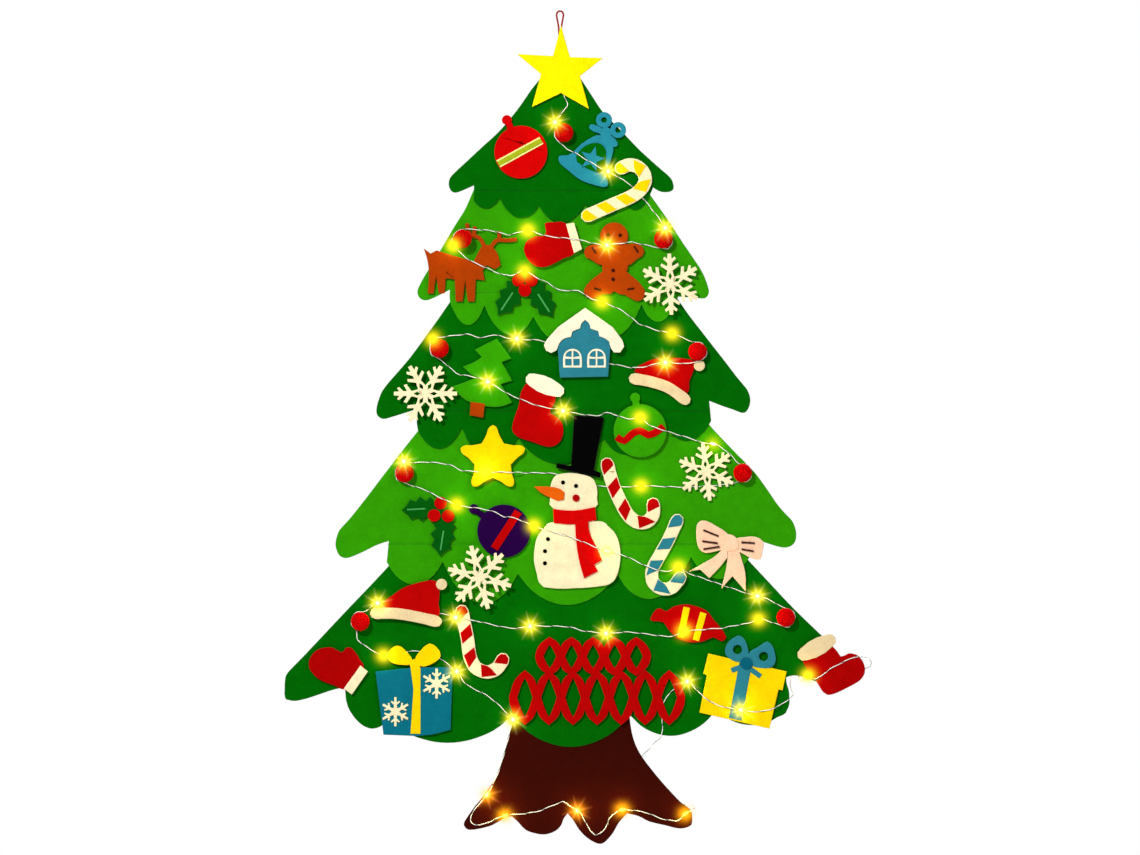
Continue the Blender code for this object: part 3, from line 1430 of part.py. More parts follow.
def route_points():
    """The route's points with their set depths, and each turn as an arc."""
    points = []
    for stop in LIGHT_ROUTE:
        if stop[0] in POMPOMS:
            name, start, end = stop
            turn = arc(POMPOMS[name], WRAP, start, end, TURN_STEPS)
            points.extend((x, y, None) for x, y in turn)
        else:
            points.append(stop if len(stop) == 3 else (*stop, None))
    return points


def wire_samples():
    """Close points along the whole smooth route, each with its set depth or none."""
    stops = route_points()
    flat = [stop[:2] for stop in stops]
    ends = [flat[0]] + flat + [flat[-1]]
    samples = []
    for i in range(len(stops) - 1):
        steps = max(1, math.ceil(math.dist(flat[i], flat[i + 1]) * GRID / WIRE_SAMPLE))
        first, last = stops[i][2], stops[i + 1][2]
        for step in range(steps):
            t = step / steps
            depth = first if step == 0 else None
            if first is not None and last is not None:
                depth = first + (last - first) * t
            samples.append((*blend_point(*ends[i:i + 4], t), depth))
    samples.append(stops[-1])
    return samples


def room_for_wire(point):
    """Least and greatest depth of the wire's or a bulb's centre at a pattern point, or none."""
    radius, half = (BULB_RADIUS, BULB_NECK) if point in BULBS else (WIRE_RADIUS, WIRE_RADIUS)
    probes = [point] + disc(point, (half + WIRE_CLEAR) / GRID, 8)
    extent = limits(probes)
    least, greatest = None, None
    for tag, outline, depth, other in COVERS:
        if apart(extent, other) or not any(inside(outline, probe) for probe in probes):
            continue
        if point[1] <= PASSES_BEHIND.get(tag, 0):
            ceiling = BASES[tag] + FELT_BACK - WIRE_CLEAR - radius
            greatest = ceiling if greatest is None else min(greatest, ceiling)
        else:
            floor = depth + WIRE_CLEAR + radius
            least = floor if least is None else max(least, floor)
    return least, greatest


def wire_depths(samples):
    """Depth of each sample: clear of what it crosses, with gentle ramps between."""
    count = len(samples)
    rooms = [room_for_wire((x, y)) for x, y, _ in samples]
    depths = []
    for i in range(count):
        first, last = max(0, i - SPREAD_STEPS), min(count, i + SPREAD_STEPS + 1)
        near = [rooms[j][0] for j in range(first, last)]
        floors = [floor for floor in near if floor is not None]
        depths.append(max(floors) if floors else None)
    depths = [sample[2] if sample[2] is not None else d for sample, d in zip(samples, depths)]
    depths = filled(depths)
    for order in (range(1, count), range(count - 2, -1, -1)):
        for i in order:
            if samples[i][2] is None:
                before = i - 1 if order.step > 0 else i + 1
                depths[i] = max(depths[i], depths[before] - RAMP_DROP)
    for i, (_, ceiling) in enumerate(rooms):
        if ceiling is not None and samples[i][2] is None:
            depths[i] = min(depths[i], ceiling)
    return depths


def filled(values):
    """The same list with each missing value read off the line between its neighbours."""
    known = [i for i, value in enumerate(values) if value is not None]
    result = list(values)
    for a, b in zip(known, known[1:]):
        for i in range(a + 1, b):
            result[i] = values[a] + (values[b] - values[a]) * (i - a) / (b - a)
    return result


def thinned(points):
    """Leave out the points that lie on the line between the kept ones."""
    if len(points) < 3:
        return points
    weighed = [Vector((p.x, p.y * DEPTH_WEIGHT, p.z)) for p in points]
    first, way = weighed[0], weighed[-1] - weighed[0]
    worst, offset = 0, 0
    for i in range(1, len(points) - 1):
        off = weighed[i] - first
        along = off.dot(way) / way.length_squared
        distance = (off - way * along).length
        if distance > offset:
            worst, offset = i, distance
    if offset < WIRE_LOOSE:
        return [points[0], points[-1]]
    return thinned(points[:worst + 1])[:-1] + thinned(points[worst:])


def make_lights(gland):
    """The wire along its route to the battery box's gland, swelling at each bulb."""
    samples = wire_samples()
    depths = wire_depths(samples)
    places = [on_sheet(sample[:2], depth) for sample, depth in zip(samples, depths)]
    to_tree = TREE.matrix_world.inverted()
    for away in (WIRE_BEND, WIRE_BEND / 2, GAP):
        places.append(to_tree @ (gland + Vector((away, 0, 0))))
    bulbs = [i for i, (x, y, _) in enumerate(samples) if (x, y) in BULBS]
    assert len(bulbs) == len(BULBS)
    line = []
    start = 0
    for i in bulbs + [None]:
        stretch = places[start:i]
        if i is not None:
            while stretch and (stretch[-1] - places[i]).length < BULB_REACH:
                stretch.pop()
        while line and stretch and (stretch[0] - line[-1][0]).length < BULB_APART:
            stretch.pop(0)
        line.extend((place, 1) for place in thinned(stretch))
        if i is None:
            break
        way = (places[i + 2] - places[i - 2]).normalized()
        way.y = 0
        swell = BULB_RADIUS / WIRE_RADIUS
        for along, size in ((-BULB_NECK, 1), (-BULB_HALF, swell), (BULB_HALF, swell), (BULB_NECK, 1)):
            line.append((places[i] + way * along, size))
        start = i + 1
    data = bpy.data.curves.new("light_string", "CURVE")
    data.dimensions = "3D"
    data.bevel_depth = WIRE_RADIUS
    data.bevel_resolution = WIRE_SIDES
    data.use_fill_caps = True
    spline = data.splines.new("POLY")
    spline.points.add(len(line) - 1)
    for point, (place, size) in zip(spline.points, line):
        point.co = (*place, 1)
        point.radius = size
    paint(link("light_string", data, TREE), SILVER, 0.35, 1)


# Build

for old in list(bpy.data.objects):
    bpy.data.objects.remove(old)

APEX = TIER_EDGES["tier_1"]["left"][0]
LEAN = math.atan(TIERS * TIER_STEP / ((TRUNK_EDGE[0][1] - APEX[1]) * GRID))
TREE = link("leaning_tree", None)
TREE.rotation_euler.x = -LEAN
apex = on_sheet(APEX, tier_back(1))
apex.rotate(TREE.rotation_euler)
TREE.location.y = -LOOP_CORD / 2 - GAP - apex.y
bpy.context.view_layer.update()

make_tree()
make_loop()
make_baubles()
make_yellow_star()
make_bell()
make_canes()
make_sweet()
make_clothes()
make_hollies()
make_fir()
make_reindeer()
make_gingerbread_man()
make_cottage()
make_snowman()
make_pink_bow()
make_gifts()
make_garland()
make_snowflakes()
make_pompoms()
make_lights(make_battery_box())
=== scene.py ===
# %% [markdown]
# # A felt Christmas tree with its ornaments and string of lights
# The real thing is a wall hanging: five scalloped tiers of felt and a trunk, with die-cut felt
# ornaments pressed on with hook-and-loop patches, nine red yarn pompoms and a wire of small lamps.
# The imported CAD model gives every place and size, and this script gives it its looks. One could
# model the pieces here afresh, but then they would drift away from the solids, so each is made
# from its solid's own faces.

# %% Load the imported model
import json
import math

import bmesh
import bpy
import mathutils
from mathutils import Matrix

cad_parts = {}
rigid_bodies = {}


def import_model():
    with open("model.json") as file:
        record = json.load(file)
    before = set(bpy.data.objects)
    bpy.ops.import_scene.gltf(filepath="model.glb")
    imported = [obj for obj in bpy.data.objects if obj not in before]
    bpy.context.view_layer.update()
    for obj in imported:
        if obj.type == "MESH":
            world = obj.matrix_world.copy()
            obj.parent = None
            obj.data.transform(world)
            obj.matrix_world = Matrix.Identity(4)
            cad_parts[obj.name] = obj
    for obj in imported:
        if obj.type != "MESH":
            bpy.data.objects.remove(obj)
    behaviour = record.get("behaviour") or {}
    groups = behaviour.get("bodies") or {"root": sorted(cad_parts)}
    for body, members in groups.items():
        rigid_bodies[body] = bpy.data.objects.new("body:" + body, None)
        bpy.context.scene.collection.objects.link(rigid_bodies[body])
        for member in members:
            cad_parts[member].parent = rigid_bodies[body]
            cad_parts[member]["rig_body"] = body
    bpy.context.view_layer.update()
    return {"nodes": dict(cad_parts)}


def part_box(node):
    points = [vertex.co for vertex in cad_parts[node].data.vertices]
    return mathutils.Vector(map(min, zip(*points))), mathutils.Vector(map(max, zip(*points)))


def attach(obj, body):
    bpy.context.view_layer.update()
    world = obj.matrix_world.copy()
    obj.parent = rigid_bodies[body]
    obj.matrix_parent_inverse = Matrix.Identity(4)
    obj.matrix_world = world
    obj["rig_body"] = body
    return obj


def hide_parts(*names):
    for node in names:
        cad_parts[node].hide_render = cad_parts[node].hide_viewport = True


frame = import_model()
nodes = frame["nodes"]
scene = bpy.context.scene
Vector = mathutils.Vector

# %% [markdown]
# ## The leaning sheet
# The tiers overlap like shingles, each in front of the next one down. These five steps of felt
# lean the sheets back by less than a degree. Everything could be turned at the end, but a piece's
# object has to stay unturned, so the script works in the sheet's own directions from the start:
# across, up, and forward out of the felt. The largest face of the widest tier gives them.

# %% Directions of the sheet
widest = max(nodes["tier_5"].data.polygons, key=lambda face: face.area)
FORWARD = Vector(widest.normal).normalized()
if FORWARD.y > 0:
    FORWARD.negate()
ACROSS = Vector((1, 0, 0))
UP = FORWARD.cross(ACROSS).normalized()
if UP.z < 0:
    UP.negate()
LEAN = math.atan2(UP.y, UP.z)
SHEET_BACK = min(v.co.dot(FORWARD) for v in nodes["trunk"].data.vertices)
GRID = 0.0012  # one pixel of the photograph on the sheet
LOOP_TOP = (560, 12)  # the photograph's point that lies at the origin


def place(across, up, forward):
    """Point in the model's frame from distances along the sheet's own directions."""
    return ACROSS * across + UP * up + FORWARD * forward


def pixel(x, y):
    """Distances across and up the sheet of a pixel of the photograph."""
    return (x - LOOP_TOP[0]) * GRID, (LOOP_TOP[1] - y) * GRID - SHEET_BACK * math.tan(LEAN)


print("lean", round(math.degrees(LEAN), 2), "degrees")

# %% [markdown]
# ## Camera
# The photograph looks straight at the hanging from a few metres away, so its outlines are almost
# those of a parallel view. A parallel camera would be simplest, but it shows no depth when the
# view turns, so a long lens from 3.5 m does the same.

# %% Camera
IMAGE = (1140, 855)  # the photograph's size in pixels
DISTANCE = 3.5
SENSOR = 36.0  # in millimetres

camera = bpy.data.cameras.new("camera")
camera.sensor_width = SENSOR
camera.lens = SENSOR * DISTANCE / (IMAGE[0] * GRID)
camera_object = bpy.data.objects.new("camera", camera)
scene.collection.objects.link(camera_object)
camera_object.location = (
    (IMAGE[0] / 2 - LOOP_TOP[0]) * GRID,
    -DISTANCE,
    (LOOP_TOP[1] - IMAGE[1] / 2) * GRID,
)
camera_object.rotation_euler = (math.pi / 2, 0, 0)
scene.camera = camera_object
print("lens", round(camera.lens, 1), "mm")

# %% [markdown]
# ## Studio
# The background is plain white. One bright world could light everything, but felt without shadows
# looks like paper. So the camera sees a white world that lights the felt only dimly from all
# round, and one soft lamp from the upper left draws the shadows under scallops and ornaments.

# %% World
WORLD_FILL = 0.28  # how bright the world is as a light, where the camera sees it at 1

scene.view_settings.view_transform = "Standard"
world = bpy.data.worlds.new("studio")
scene.world = world
world.use_nodes = True
world_links = world.node_tree.links
world_nodes = world.node_tree.nodes
backdrop = world_nodes["Background"]
backdrop.inputs["Color"].default_value = (1, 1, 1, 1)
seen = world_nodes.new("ShaderNodeLightPath")
brightness = world_nodes.new("ShaderNodeMapRange")
brightness.inputs["To Min"].default_value = WORLD_FILL
brightness.inputs["To Max"].default_value = 1.0
world_links.new(seen.outputs["Is Camera Ray"], brightness.inputs["Value"])
world_links.new(brightness.outputs["Result"], backdrop.inputs["Strength"])
print("world lights at", WORLD_FILL)

# %% Lamps and floor
TREE_MIDDLE = (0, 0, -0.5)
STUDIO_LAMPS = {  # where each lamp is, its watts and its width
    "key_lamp": ((-1.25, -2.75, 1.1), 97, 0.30),
    "fill_lamp": ((2.0, -2.6, -0.2), 18, 1.5),
    "back_lamp": ((0.6, 2.6, 0.8), 60, 1.5),
}
FLOOR_LEVEL = -1.75  # below the photograph's view
FLOOR_RADIUS = 2.6
FLOOR_SIDES = 96


def area_lamp(name, place_at, aim, watts, size):
    """A square soft lamp that faces a point."""
    data = bpy.data.lights.new(name, "AREA")
    data.energy = watts
    data.size = size
    lamp = bpy.data.objects.new(name, data)
    scene.collection.objects.link(lamp)
    lamp.location = place_at
    facing = Vector(aim) - Vector(place_at)
    lamp.rotation_euler = facing.to_track_quat("-Z", "Y").to_euler()


for name, (place_at, watts, size) in STUDIO_LAMPS.items():
    area_lamp(name, place_at, TREE_MIDDLE, watts, size)

bpy.ops.mesh.primitive_circle_add(vertices=FLOOR_SIDES, radius=FLOOR_RADIUS, fill_type="NGON")
floor = bpy.context.object
floor.name = "floor"
floor.data.transform(mathutils.Matrix.Translation((0, 0, FLOOR_LEVEL)))
print(len(STUDIO_LAMPS), "lamps over a floor at", FLOOR_LEVEL)

# %% [markdown]
# ## Felt
# Needle felt is a mat of short fibres that lie every way. Up close it has crossed hairs, from
# further off only a soft cloudy tone, and light that grazes it catches the loose hairs as a sheen.
# Real hairs could be grown on it, but on some forty pieces they would be far too many, and an
# export loses them. Noise that is stretched one way looks like hairs too, so two such noises at
# an angle make the mat. First come small helpers that set one shader node each.

# %% Helpers for materials
def new_material(name):
    """An empty node material with its principled shader."""
    made = bpy.data.materials.new(name)
    made.use_nodes = True
    return made, made.node_tree, made.node_tree.nodes["Principled BSDF"]


def scaled(colour, factor):
    """A colour made lighter or darker, with alpha."""
    return (*(min(1.0, channel * factor) for channel in colour), 1.0)


def noise(tree, vector, scale, detail):
    """A noise texture on a vector."""
    texture = tree.nodes.new("ShaderNodeTexNoise")
    texture.inputs["Scale"].default_value = scale
    texture.inputs["Detail"].default_value = detail
    tree.links.new(vector, texture.inputs["Vector"])
    return texture.outputs["Fac"]


def turned(tree, vector, turn, scale):
    """A vector turned in the plane of the sheet and stretched."""
    mapping = tree.nodes.new("ShaderNodeMapping")
    mapping.inputs["Rotation"].default_value = (0, turn, 0)
    mapping.inputs["Scale"].default_value = scale
    tree.links.new(vector, mapping.inputs["Vector"])
    return mapping.outputs["Vector"]


def maths(tree, kind, first, second=0.0):
    """A Math node on one or two sockets or numbers."""
    node = tree.nodes.new("ShaderNodeMath")
    node.operation = kind
    for slot, value in enumerate((first, second)):
        if isinstance(value, (int, float)):
            node.inputs[slot].default_value = value
        else:
            tree.links.new(value, node.inputs[slot])
    return node.outputs[0]


def ramp(tree, factor, stops):
    """A colour ramp from (position, colour) stops."""
    node = tree.nodes.new("ShaderNodeValToRGB")
    elements = node.color_ramp.elements
    while len(elements) < len(stops):
        elements.new(0.5)
    for element, (position, colour) in zip(elements, stops):
        element.position = position
        element.color = colour
    tree.links.new(factor, node.inputs["Fac"])
    return node.outputs["Color"]


def bump(tree, height, distance, strength=1.0, under=None):
    """A Bump node, over another one if given."""
    node = tree.nodes.new("ShaderNodeBump")
    node.inputs["Distance"].default_value = distance
    node.inputs["Strength"].default_value = strength
    tree.links.new(height, node.inputs["Height"])
    if under is not None:
        tree.links.new(under, node.inputs["Normal"])
    return node.outputs["Normal"]


def mixed(tree, factor, first, second):
    """Two colours mixed by a factor."""
    blend = tree.nodes.new("ShaderNodeMix")
    blend.data_type = "RGBA"
    tree.links.new(factor, blend.inputs["Factor"])
    tree.links.new(first, blend.inputs["A"])
    blend.inputs["B"].default_value = second
    return blend.outputs["Result"]


def object_place(tree):
    """The place of a point on its object, for patterns in real sizes."""
    return tree.nodes.new("ShaderNodeTexCoord").outputs["Object"]


def attribute(tree, name, output):
    """What a mesh says about itself under a name."""
    node = tree.nodes.new("ShaderNodeAttribute")
    node.attribute_name = name
    return node.outputs[output]


def set_surface(surface, settings):
    """Sets numbers and colours on the sockets of the principled shader."""
    for label, value in settings.items():
        surface.inputs[label].default_value = value


print("helpers for materials ready")

# %% Felt material
FIBRE_TURNS = (0.6, -0.9)
FIBRE_SCALE = (3200, 3200, 330)
FIBRE_SHARE = 0.7  # of the tone, and the rest is the soft clouds
CLOUD_SHARE = 0.3
CLOUD_SCALE = 85.0
SWELL_SCALE = 42.0
FIBRE_TONES = ((0.34, 0.74), (0.52, 0.98), (0.70, 1.16))  # where, and how light
FIBRE_DEPTH = 0.00035
SWELL_DEPTH = 0.0011
RIM_HIGHLIGHT_SHARE = 0.55  # how much of the painted rim highlight shows
RIM_HIGHLIGHT_GAIN = 1.4
RIM_HIGHLIGHT_LIFT = 0.03
FELT_SHEEN = 0.03


def felt(name, colour, sheen=FELT_SHEEN):
    """Felt of one colour, with a painted highlight that makes its cut rim paler."""
    made, tree, surface = new_material(name)
    place_on = object_place(tree)
    hairs = [
        noise(tree, turned(tree, place_on, turn, FIBRE_SCALE), 1.0, 2.0)
        for turn in FIBRE_TURNS
    ]
    mat = maths(tree, "MAXIMUM", *hairs)
    cloud = noise(tree, place_on, CLOUD_SCALE, 5.0)
    hairy = maths(tree, "MULTIPLY", mat, FIBRE_SHARE)
    tone = maths(tree, "ADD", hairy, maths(tree, "MULTIPLY", cloud, CLOUD_SHARE))
    colours = ramp(tree, tone, [(at, scaled(colour, light)) for at, light in FIBRE_TONES])
    # the rim attribute makes the cut rim paler: a painted highlight
    edge = attribute(tree, "rim", "Fac")
    painted_rim_highlight = maths(tree, "MULTIPLY", maths(tree, "MULTIPLY", edge, tone), RIM_HIGHLIGHT_SHARE)
    pale = scaled([channel * RIM_HIGHLIGHT_GAIN + RIM_HIGHLIGHT_LIFT for channel in colour], 1.0)
    tree.links.new(mixed(tree, painted_rim_highlight, colours, pale), surface.inputs["Base Color"])
    swell = bump(tree, noise(tree, place_on, SWELL_SCALE, 2.0), SWELL_DEPTH, 0.55)
    tree.links.new(bump(tree, mat, FIBRE_DEPTH, 0.8, swell), surface.inputs["Normal"])
    set_surface(surface, {
        "Roughness": 0.95, "Specular IOR Level": 0.02, "Sheen Weight": sheen,
        "Sheen Roughness": 0.45, "Sheen Tint": scaled(colour, 2.0),
    })
    return made


print("fibres lie", len(FIBRE_TURNS), "ways")

# %% Colours of the felts
FELT_COLOURS = {
    "dark_green": (0.0005, 0.112, 0.0008),
    "light_green": (0.028, 0.285, 0.001),
    "holly_green": (0.001, 0.085, 0.003),
    "leaf_vein": (0.05, 0.32, 0.08),
    "trunk": (0.036, 0.0027, 0.0011),
    "red": (0.42, 0.0006, 0.0008),
    "bright_red": (0.58, 0.0008, 0.0010),
    "dark_red": (0.36, 0.0004, 0.0006),
    "yellow": (0.90, 0.60, 0.001),
    "lemon": (0.92, 0.79, 0.001),
    "pale_yellow": (0.88, 0.82, 0.28),
    "olive": (0.35, 0.42, 0.01),
    "cream": (0.88, 0.77, 0.48),
    "white": (0.88, 0.80, 0.60),
    "cuff": (0.74, 0.58, 0.33),
    "sky_blue": (0.018, 0.235, 0.315),
    "blue": (0.022, 0.19, 0.25),
    "gift_blue": (0.003, 0.145, 0.205),
    "dark_blue": (0.002, 0.105, 0.17),
    "purple": (0.016, 0.0006, 0.045),
    "brown": (0.36, 0.040, 0.0010),
    "gingerbread": (0.38, 0.044, 0.0012),
    "dark_brown": (0.045, 0.006, 0.002),
    "salmon": (0.98, 0.60, 0.39),
    "dark_salmon": (0.05, 0.015, 0.012),
    "orange": (0.70, 0.105, 0.003),
    "black": (0.0010, 0.0010, 0.0012),
}
WITHOUT_SHEEN = ("black",)  # a sheen would turn it grey

FELTS = {
    name: felt(name + "_felt", colour, 0.0 if name in WITHOUT_SHEEN else FELT_SHEEN)
    for name, colour in FELT_COLOURS.items()
}
print(len(FELTS), "felts")

# %% [markdown]
# ## Cutting felt to the CAD outlines
# Each CAD solid is a stack of flat layers: the felt, what is sewn on it, and a third layer over
# that. The outlines could be drawn again by hand, but the flat faces of one layer already hold
# them. These faces are laid flat and merged, and their free edges are the outline.

# %% Outlines from flat faces
SAME_POINT = 3e-5  # points closer than this are one point
FLAT = 0.9  # least cosine between a face's normal and forward
NEW_LAYER = 0.0006  # layers lie further apart than this
PATCH_STEP = 0.0016  # and felt lies at least this far over the rim of its patch
LAYER_NAMES = ("felt", "trim", "top")


def flat_faces(node_name, side):
    """Faces of a node that look forward (side 1) or back (-1), as (distance forward, corners)."""
    mesh = nodes[node_name].data
    found = []
    for face in mesh.polygons:
        if face.normal.dot(FORWARD) * side > FLAT:
            corners = [mesh.vertices[i].co for i in face.vertices]
            found.append((face.center.dot(FORWARD), corners))
    return sorted(found, key=lambda row: row[0])


def layers_of(node_name):
    """Groups of forward faces, from the lowest layer up: (its height, its faces)."""
    groups = []
    for height, corners in flat_faces(node_name, 1):
        if not groups or height - groups[-1][0] > NEW_LAYER:
            groups.append((height, []))
        groups[-1][1].append(corners)
    if len(groups) > 1 and groups[1][0] - groups[0][0] > PATCH_STEP:
        groups.pop(0)  # the rim of a patch that is wider than the felt over it
    return groups


def outline_mesh(faces):
    """The faces laid flat in the plane of the sheet and merged."""
    flat = bmesh.new()
    # the rim layer holds where the painted rim highlight goes
    flat.verts.layers.float.new("rim")
    for corners in faces:
        points = [flat.verts.new((c.dot(ACROSS), c.dot(UP), 0)) for c in corners]
        flat.faces.new(points)
    bmesh.ops.remove_doubles(flat, verts=flat.verts, dist=SAME_POINT)
    for face in flat.faces:
        if face.normal.z < 0:
            face.normal_flip()
    bmesh.ops.dissolve_degenerate(flat, dist=SAME_POINT, edges=flat.edges)
    weld_junctions(flat)
    curve_outline(flat)
    return flat


def split_at(edge, start, shares):
    """Splits an edge at shares of its length from one end; returns the new corners in order."""
    made = []
    whole = 1.0
    for share in sorted(shares, reverse=True):
        rest, corner = bmesh.utils.edge_split(edge, start, share / whole)
        made.append(corner)
        whole = share
        edge = edge if start in edge.verts else rest
    return made[::-1]


def weld_junctions(flat):
    """Joins outline edges that run along each other, where one has a corner and the other none."""
    outline = [edge for edge in flat.edges if edge.is_boundary]
    corners = list({vert for edge in outline for vert in edge.verts})
    finder = mathutils.kdtree.KDTree(len(corners))
    for index, vert in enumerate(corners):
        finder.insert(vert.co, index)
    finder.balance()
    for edge in outline:
        start, finish = (vert.co.copy() for vert in edge.verts)
        span = finish - start
        shares = []
        for spot, _, _ in finder.find_range((start + finish) / 2, span.length / 2 - SAME_POINT):
            share = (spot - start).dot(span) / span.length_squared
            if (spot - start - span * share).length < SAME_POINT:
                shares.append(share)
        split_at(edge, edge.verts[0], shares)
    bmesh.ops.remove_doubles(flat, verts=flat.verts, dist=SAME_POINT)


print("a star has", sum(len(faces) for _, faces in layers_of("top_star")), "flat faces in front")

# %% [markdown]
# ## Curved outlines
# A die cuts felt in smooth curves, and the solids have short straight edges there. Subdivision
# would round the tips of the stars too. So each straight edge gets two more corners on a curve
# that leaves and arrives in the outline's own direction, and a sharp corner keeps its point.

# %% Curves between corners
SHARP_TURN = math.radians(38)  # an outline that turns further has a corner there
CURVE_SHARES = (1 / 3, 2 / 3)
SHORTEST_CURVED = 0.0008


def heading(before, vert, after):
    """Direction of a curved outline at one of its corners, or nothing at a sharp corner."""
    come = vert.co - before.co
    go = after.co - vert.co
    if come.angle(go, math.pi) > SHARP_TURN:
        return None
    return (come.normalized() * go.length + go.normalized() * come.length).normalized()


def curve_outline(flat):
    """Gives each straight edge of a curved outline two more corners, on a smooth curve."""
    previous, following = {}, {}
    runs = []
    for edge in flat.edges:
        if edge.is_boundary:
            loop = edge.link_loops[0]
            first, second = loop.vert, loop.link_loop_next.vert
            following[first] = second
            previous[second] = first
            runs.append((edge, first, second))
    curves = []
    for edge, first, second in runs:
        chord = second.co - first.co
        if chord.length < SHORTEST_CURVED:
            continue
        leave = heading(previous[first], first, second) or chord.normalized()
        arrive = heading(first, second, following[second]) or chord.normalized()
        places = []
        for s in CURVE_SHARES:
            places.append(
                first.co * (2 * s ** 3 - 3 * s ** 2 + 1)
                + leave * chord.length * (s ** 3 - 2 * s ** 2 + s)
                + second.co * (3 * s ** 2 - 2 * s ** 3)
                + arrive * chord.length * (s ** 3 - s ** 2)
            )
        curves.append((edge, first, places))
    for edge, first, places in curves:
        for corner, spot in zip(split_at(edge, first, CURVE_SHARES), places):
            corner.co = spot


def draw_corners(flat, moves):
    """Moves corners of an outline; the outline near a corner follows it less and less far."""
    pulls = []
    for corner, goal, reach in moves:
        start = Vector((*pixel(*corner), 0))
        pulls.append((start, Vector((*pixel(*goal), 0)) - start, reach))
    outline = {vert for edge in flat.edges if edge.is_boundary for vert in edge.verts}
    for vert in outline:
        shift = Vector()
        for start, way, reach in pulls:
            share = (vert.co - start).length / way.length / reach
            if share < 1:
                shift += way * (1 - share ** 2) ** 2
        vert.co += shift


print("each edge of an outline gets", len(CURVE_SHARES), "more corners")

# %% [markdown]
# ## Soft rims
# A cut leaves no sharp edge on felt: the fibres there spring out and round it off. A Bevel
# modifier would need a clean band of faces along the outline, which a cut grid spoils. So the
# outline itself gets two more rings, each further out and further down, on a quarter circle.

# %% Rim of a flat mesh
MIDDLE_IN = 0.35  # the middle ring's place on the quarter circle, in shares of its radius
MIDDLE_DOWN = 0.24
MIDDLE_HIGHLIGHT = 0.8  # and how much of the painted rim highlight it gets


def inward(vert):
    """Which way is into the felt from a point of its outline, longer edges counting more."""
    total = Vector()
    for edge in vert.link_edges:
        if edge.is_boundary:
            loop = edge.link_loops[0]
            along = loop.link_loop_next.vert.co - loop.vert.co
            total += Vector((-along.y, along.x, 0))
    return total.normalized()


def soften_rim(flat, size):
    """Gives the outline two more rings, so that the edge falls away on a quarter circle."""
    outline = [edge for edge in flat.edges if edge.is_boundary]
    corners = {vert: inward(vert) for edge in outline for vert in edge.verts}
    runs = []
    for edge in outline:
        loop = edge.link_loops[0]
        runs.append((loop.vert, loop.link_loop_next.vert))
    # the outer and middle rings get the painted rim highlight
    painted_highlight_layer = flat.verts.layers.float["rim"]
    outer, middle = {}, {}
    for vert, direction in corners.items():
        outer[vert] = flat.verts.new(vert.co - Vector((0, 0, size)))
        lowered = Vector((0, 0, size * MIDDLE_DOWN))
        middle[vert] = flat.verts.new(vert.co + direction * size * MIDDLE_IN - lowered)
        outer[vert][painted_highlight_layer] = 1.0
        middle[vert][painted_highlight_layer] = MIDDLE_HIGHLIGHT
        vert.co += direction * size
    for first, second in runs:
        flat.faces.new((outer[first], outer[second], middle[second], middle[first]))
        flat.faces.new((middle[first], middle[second], second, first))


def cut_grid(flat, pitch, extra=()):
    """Cuts the flat mesh along an even grid, so that its surface can be shaped."""
    spans = []
    for axis in (0, 1):
        values = [vert.co[axis] for vert in flat.verts]
        spans.append((min(values), max(values)))
    cuts = []
    for axis, (low, high) in enumerate(spans):
        normal = (1, 0, 0) if axis == 0 else (0, 1, 0)
        for step in range(math.ceil(low / pitch), math.floor(high / pitch) + 1):
            point = (step * pitch, 0, 0) if axis == 0 else (0, step * pitch, 0)
            cuts.append((point, normal))
    cuts += [((0, up, 0), (0, 1, 0)) for up in extra]
    for point, normal in cuts:
        everything = flat.verts[:] + flat.edges[:] + flat.faces[:]
        bmesh.ops.bisect_plane(flat, geom=everything, dist=SAME_POINT, plane_co=point, plane_no=normal)


print("the rim's middle ring lies", MIDDLE_IN, "in and", MIDDLE_DOWN, "down")

# %% [markdown]
# ## A slab of felt
# Felt is never quite flat, and its cut edge wavers by a tenth of a millimetre. The flat mesh is
# set twice, at the front and at the back, and a wall joins the two along the outline. Solidify
# would do that as well, but it would carry a seam's groove through to the back.

# %% Front, back and wall
UNEVEN = 0.00010
UNEVEN_SCALE = 95
EDGE_WOBBLE = 0.00012
EDGE_SCALE = 420
NOISE_SEED = 7

mathutils.noise.seed_set(NOISE_SEED)  # without it, noise_vector takes its seed from the clock


def uneven(x, y, seed):
    """How far felt stands out of its plane at a point."""
    return mathutils.noise.noise((x * UNEVEN_SCALE, y * UNEVEN_SCALE, seed)) * UNEVEN


def slab(target, flat, back, front, material_index, seed, crease=None):
    """Adds a flat mesh to target as a closed slab between two depths."""
    # the rim layer carries the painted rim highlight into the slab
    painted_highlight_layer = flat.verts.layers.float["rim"]
    rim = target.verts.layers.float.get("rim") or target.verts.layers.float.new("rim")
    sides = {}
    for side, level in ((1, front), (-1, back)):
        made = {}
        for vert in flat.verts:
            x, y, drop = vert.co
            rise = uneven(x, y, seed) + (crease(x, y) if crease and side == 1 else 0.0)
            wobble = mathutils.noise.noise_vector((x * EDGE_SCALE, y * EDGE_SCALE, seed)) * EDGE_WOBBLE
            point = place(x + wobble.x, y + wobble.y, level + side * drop + rise)
            made[vert.index] = target.verts.new(point)
            made[vert.index][rim] = vert[painted_highlight_layer]
        sides[side] = made
        for face in flat.faces:
            corners = [made[v.index] for v in face.verts]
            skin = target.faces.new(corners if side == 1 else corners[::-1])
            skin.material_index = material_index
            skin.smooth = True
    for edge in flat.edges:
        if edge.is_boundary:
            loop = edge.link_loops[0]
            a, b = loop.vert.index, loop.link_loop_next.vert.index
            wall = target.faces.new((sides[1][b], sides[1][a], sides[-1][a], sides[-1][b]))
            wall.material_index = material_index
            wall.smooth = True


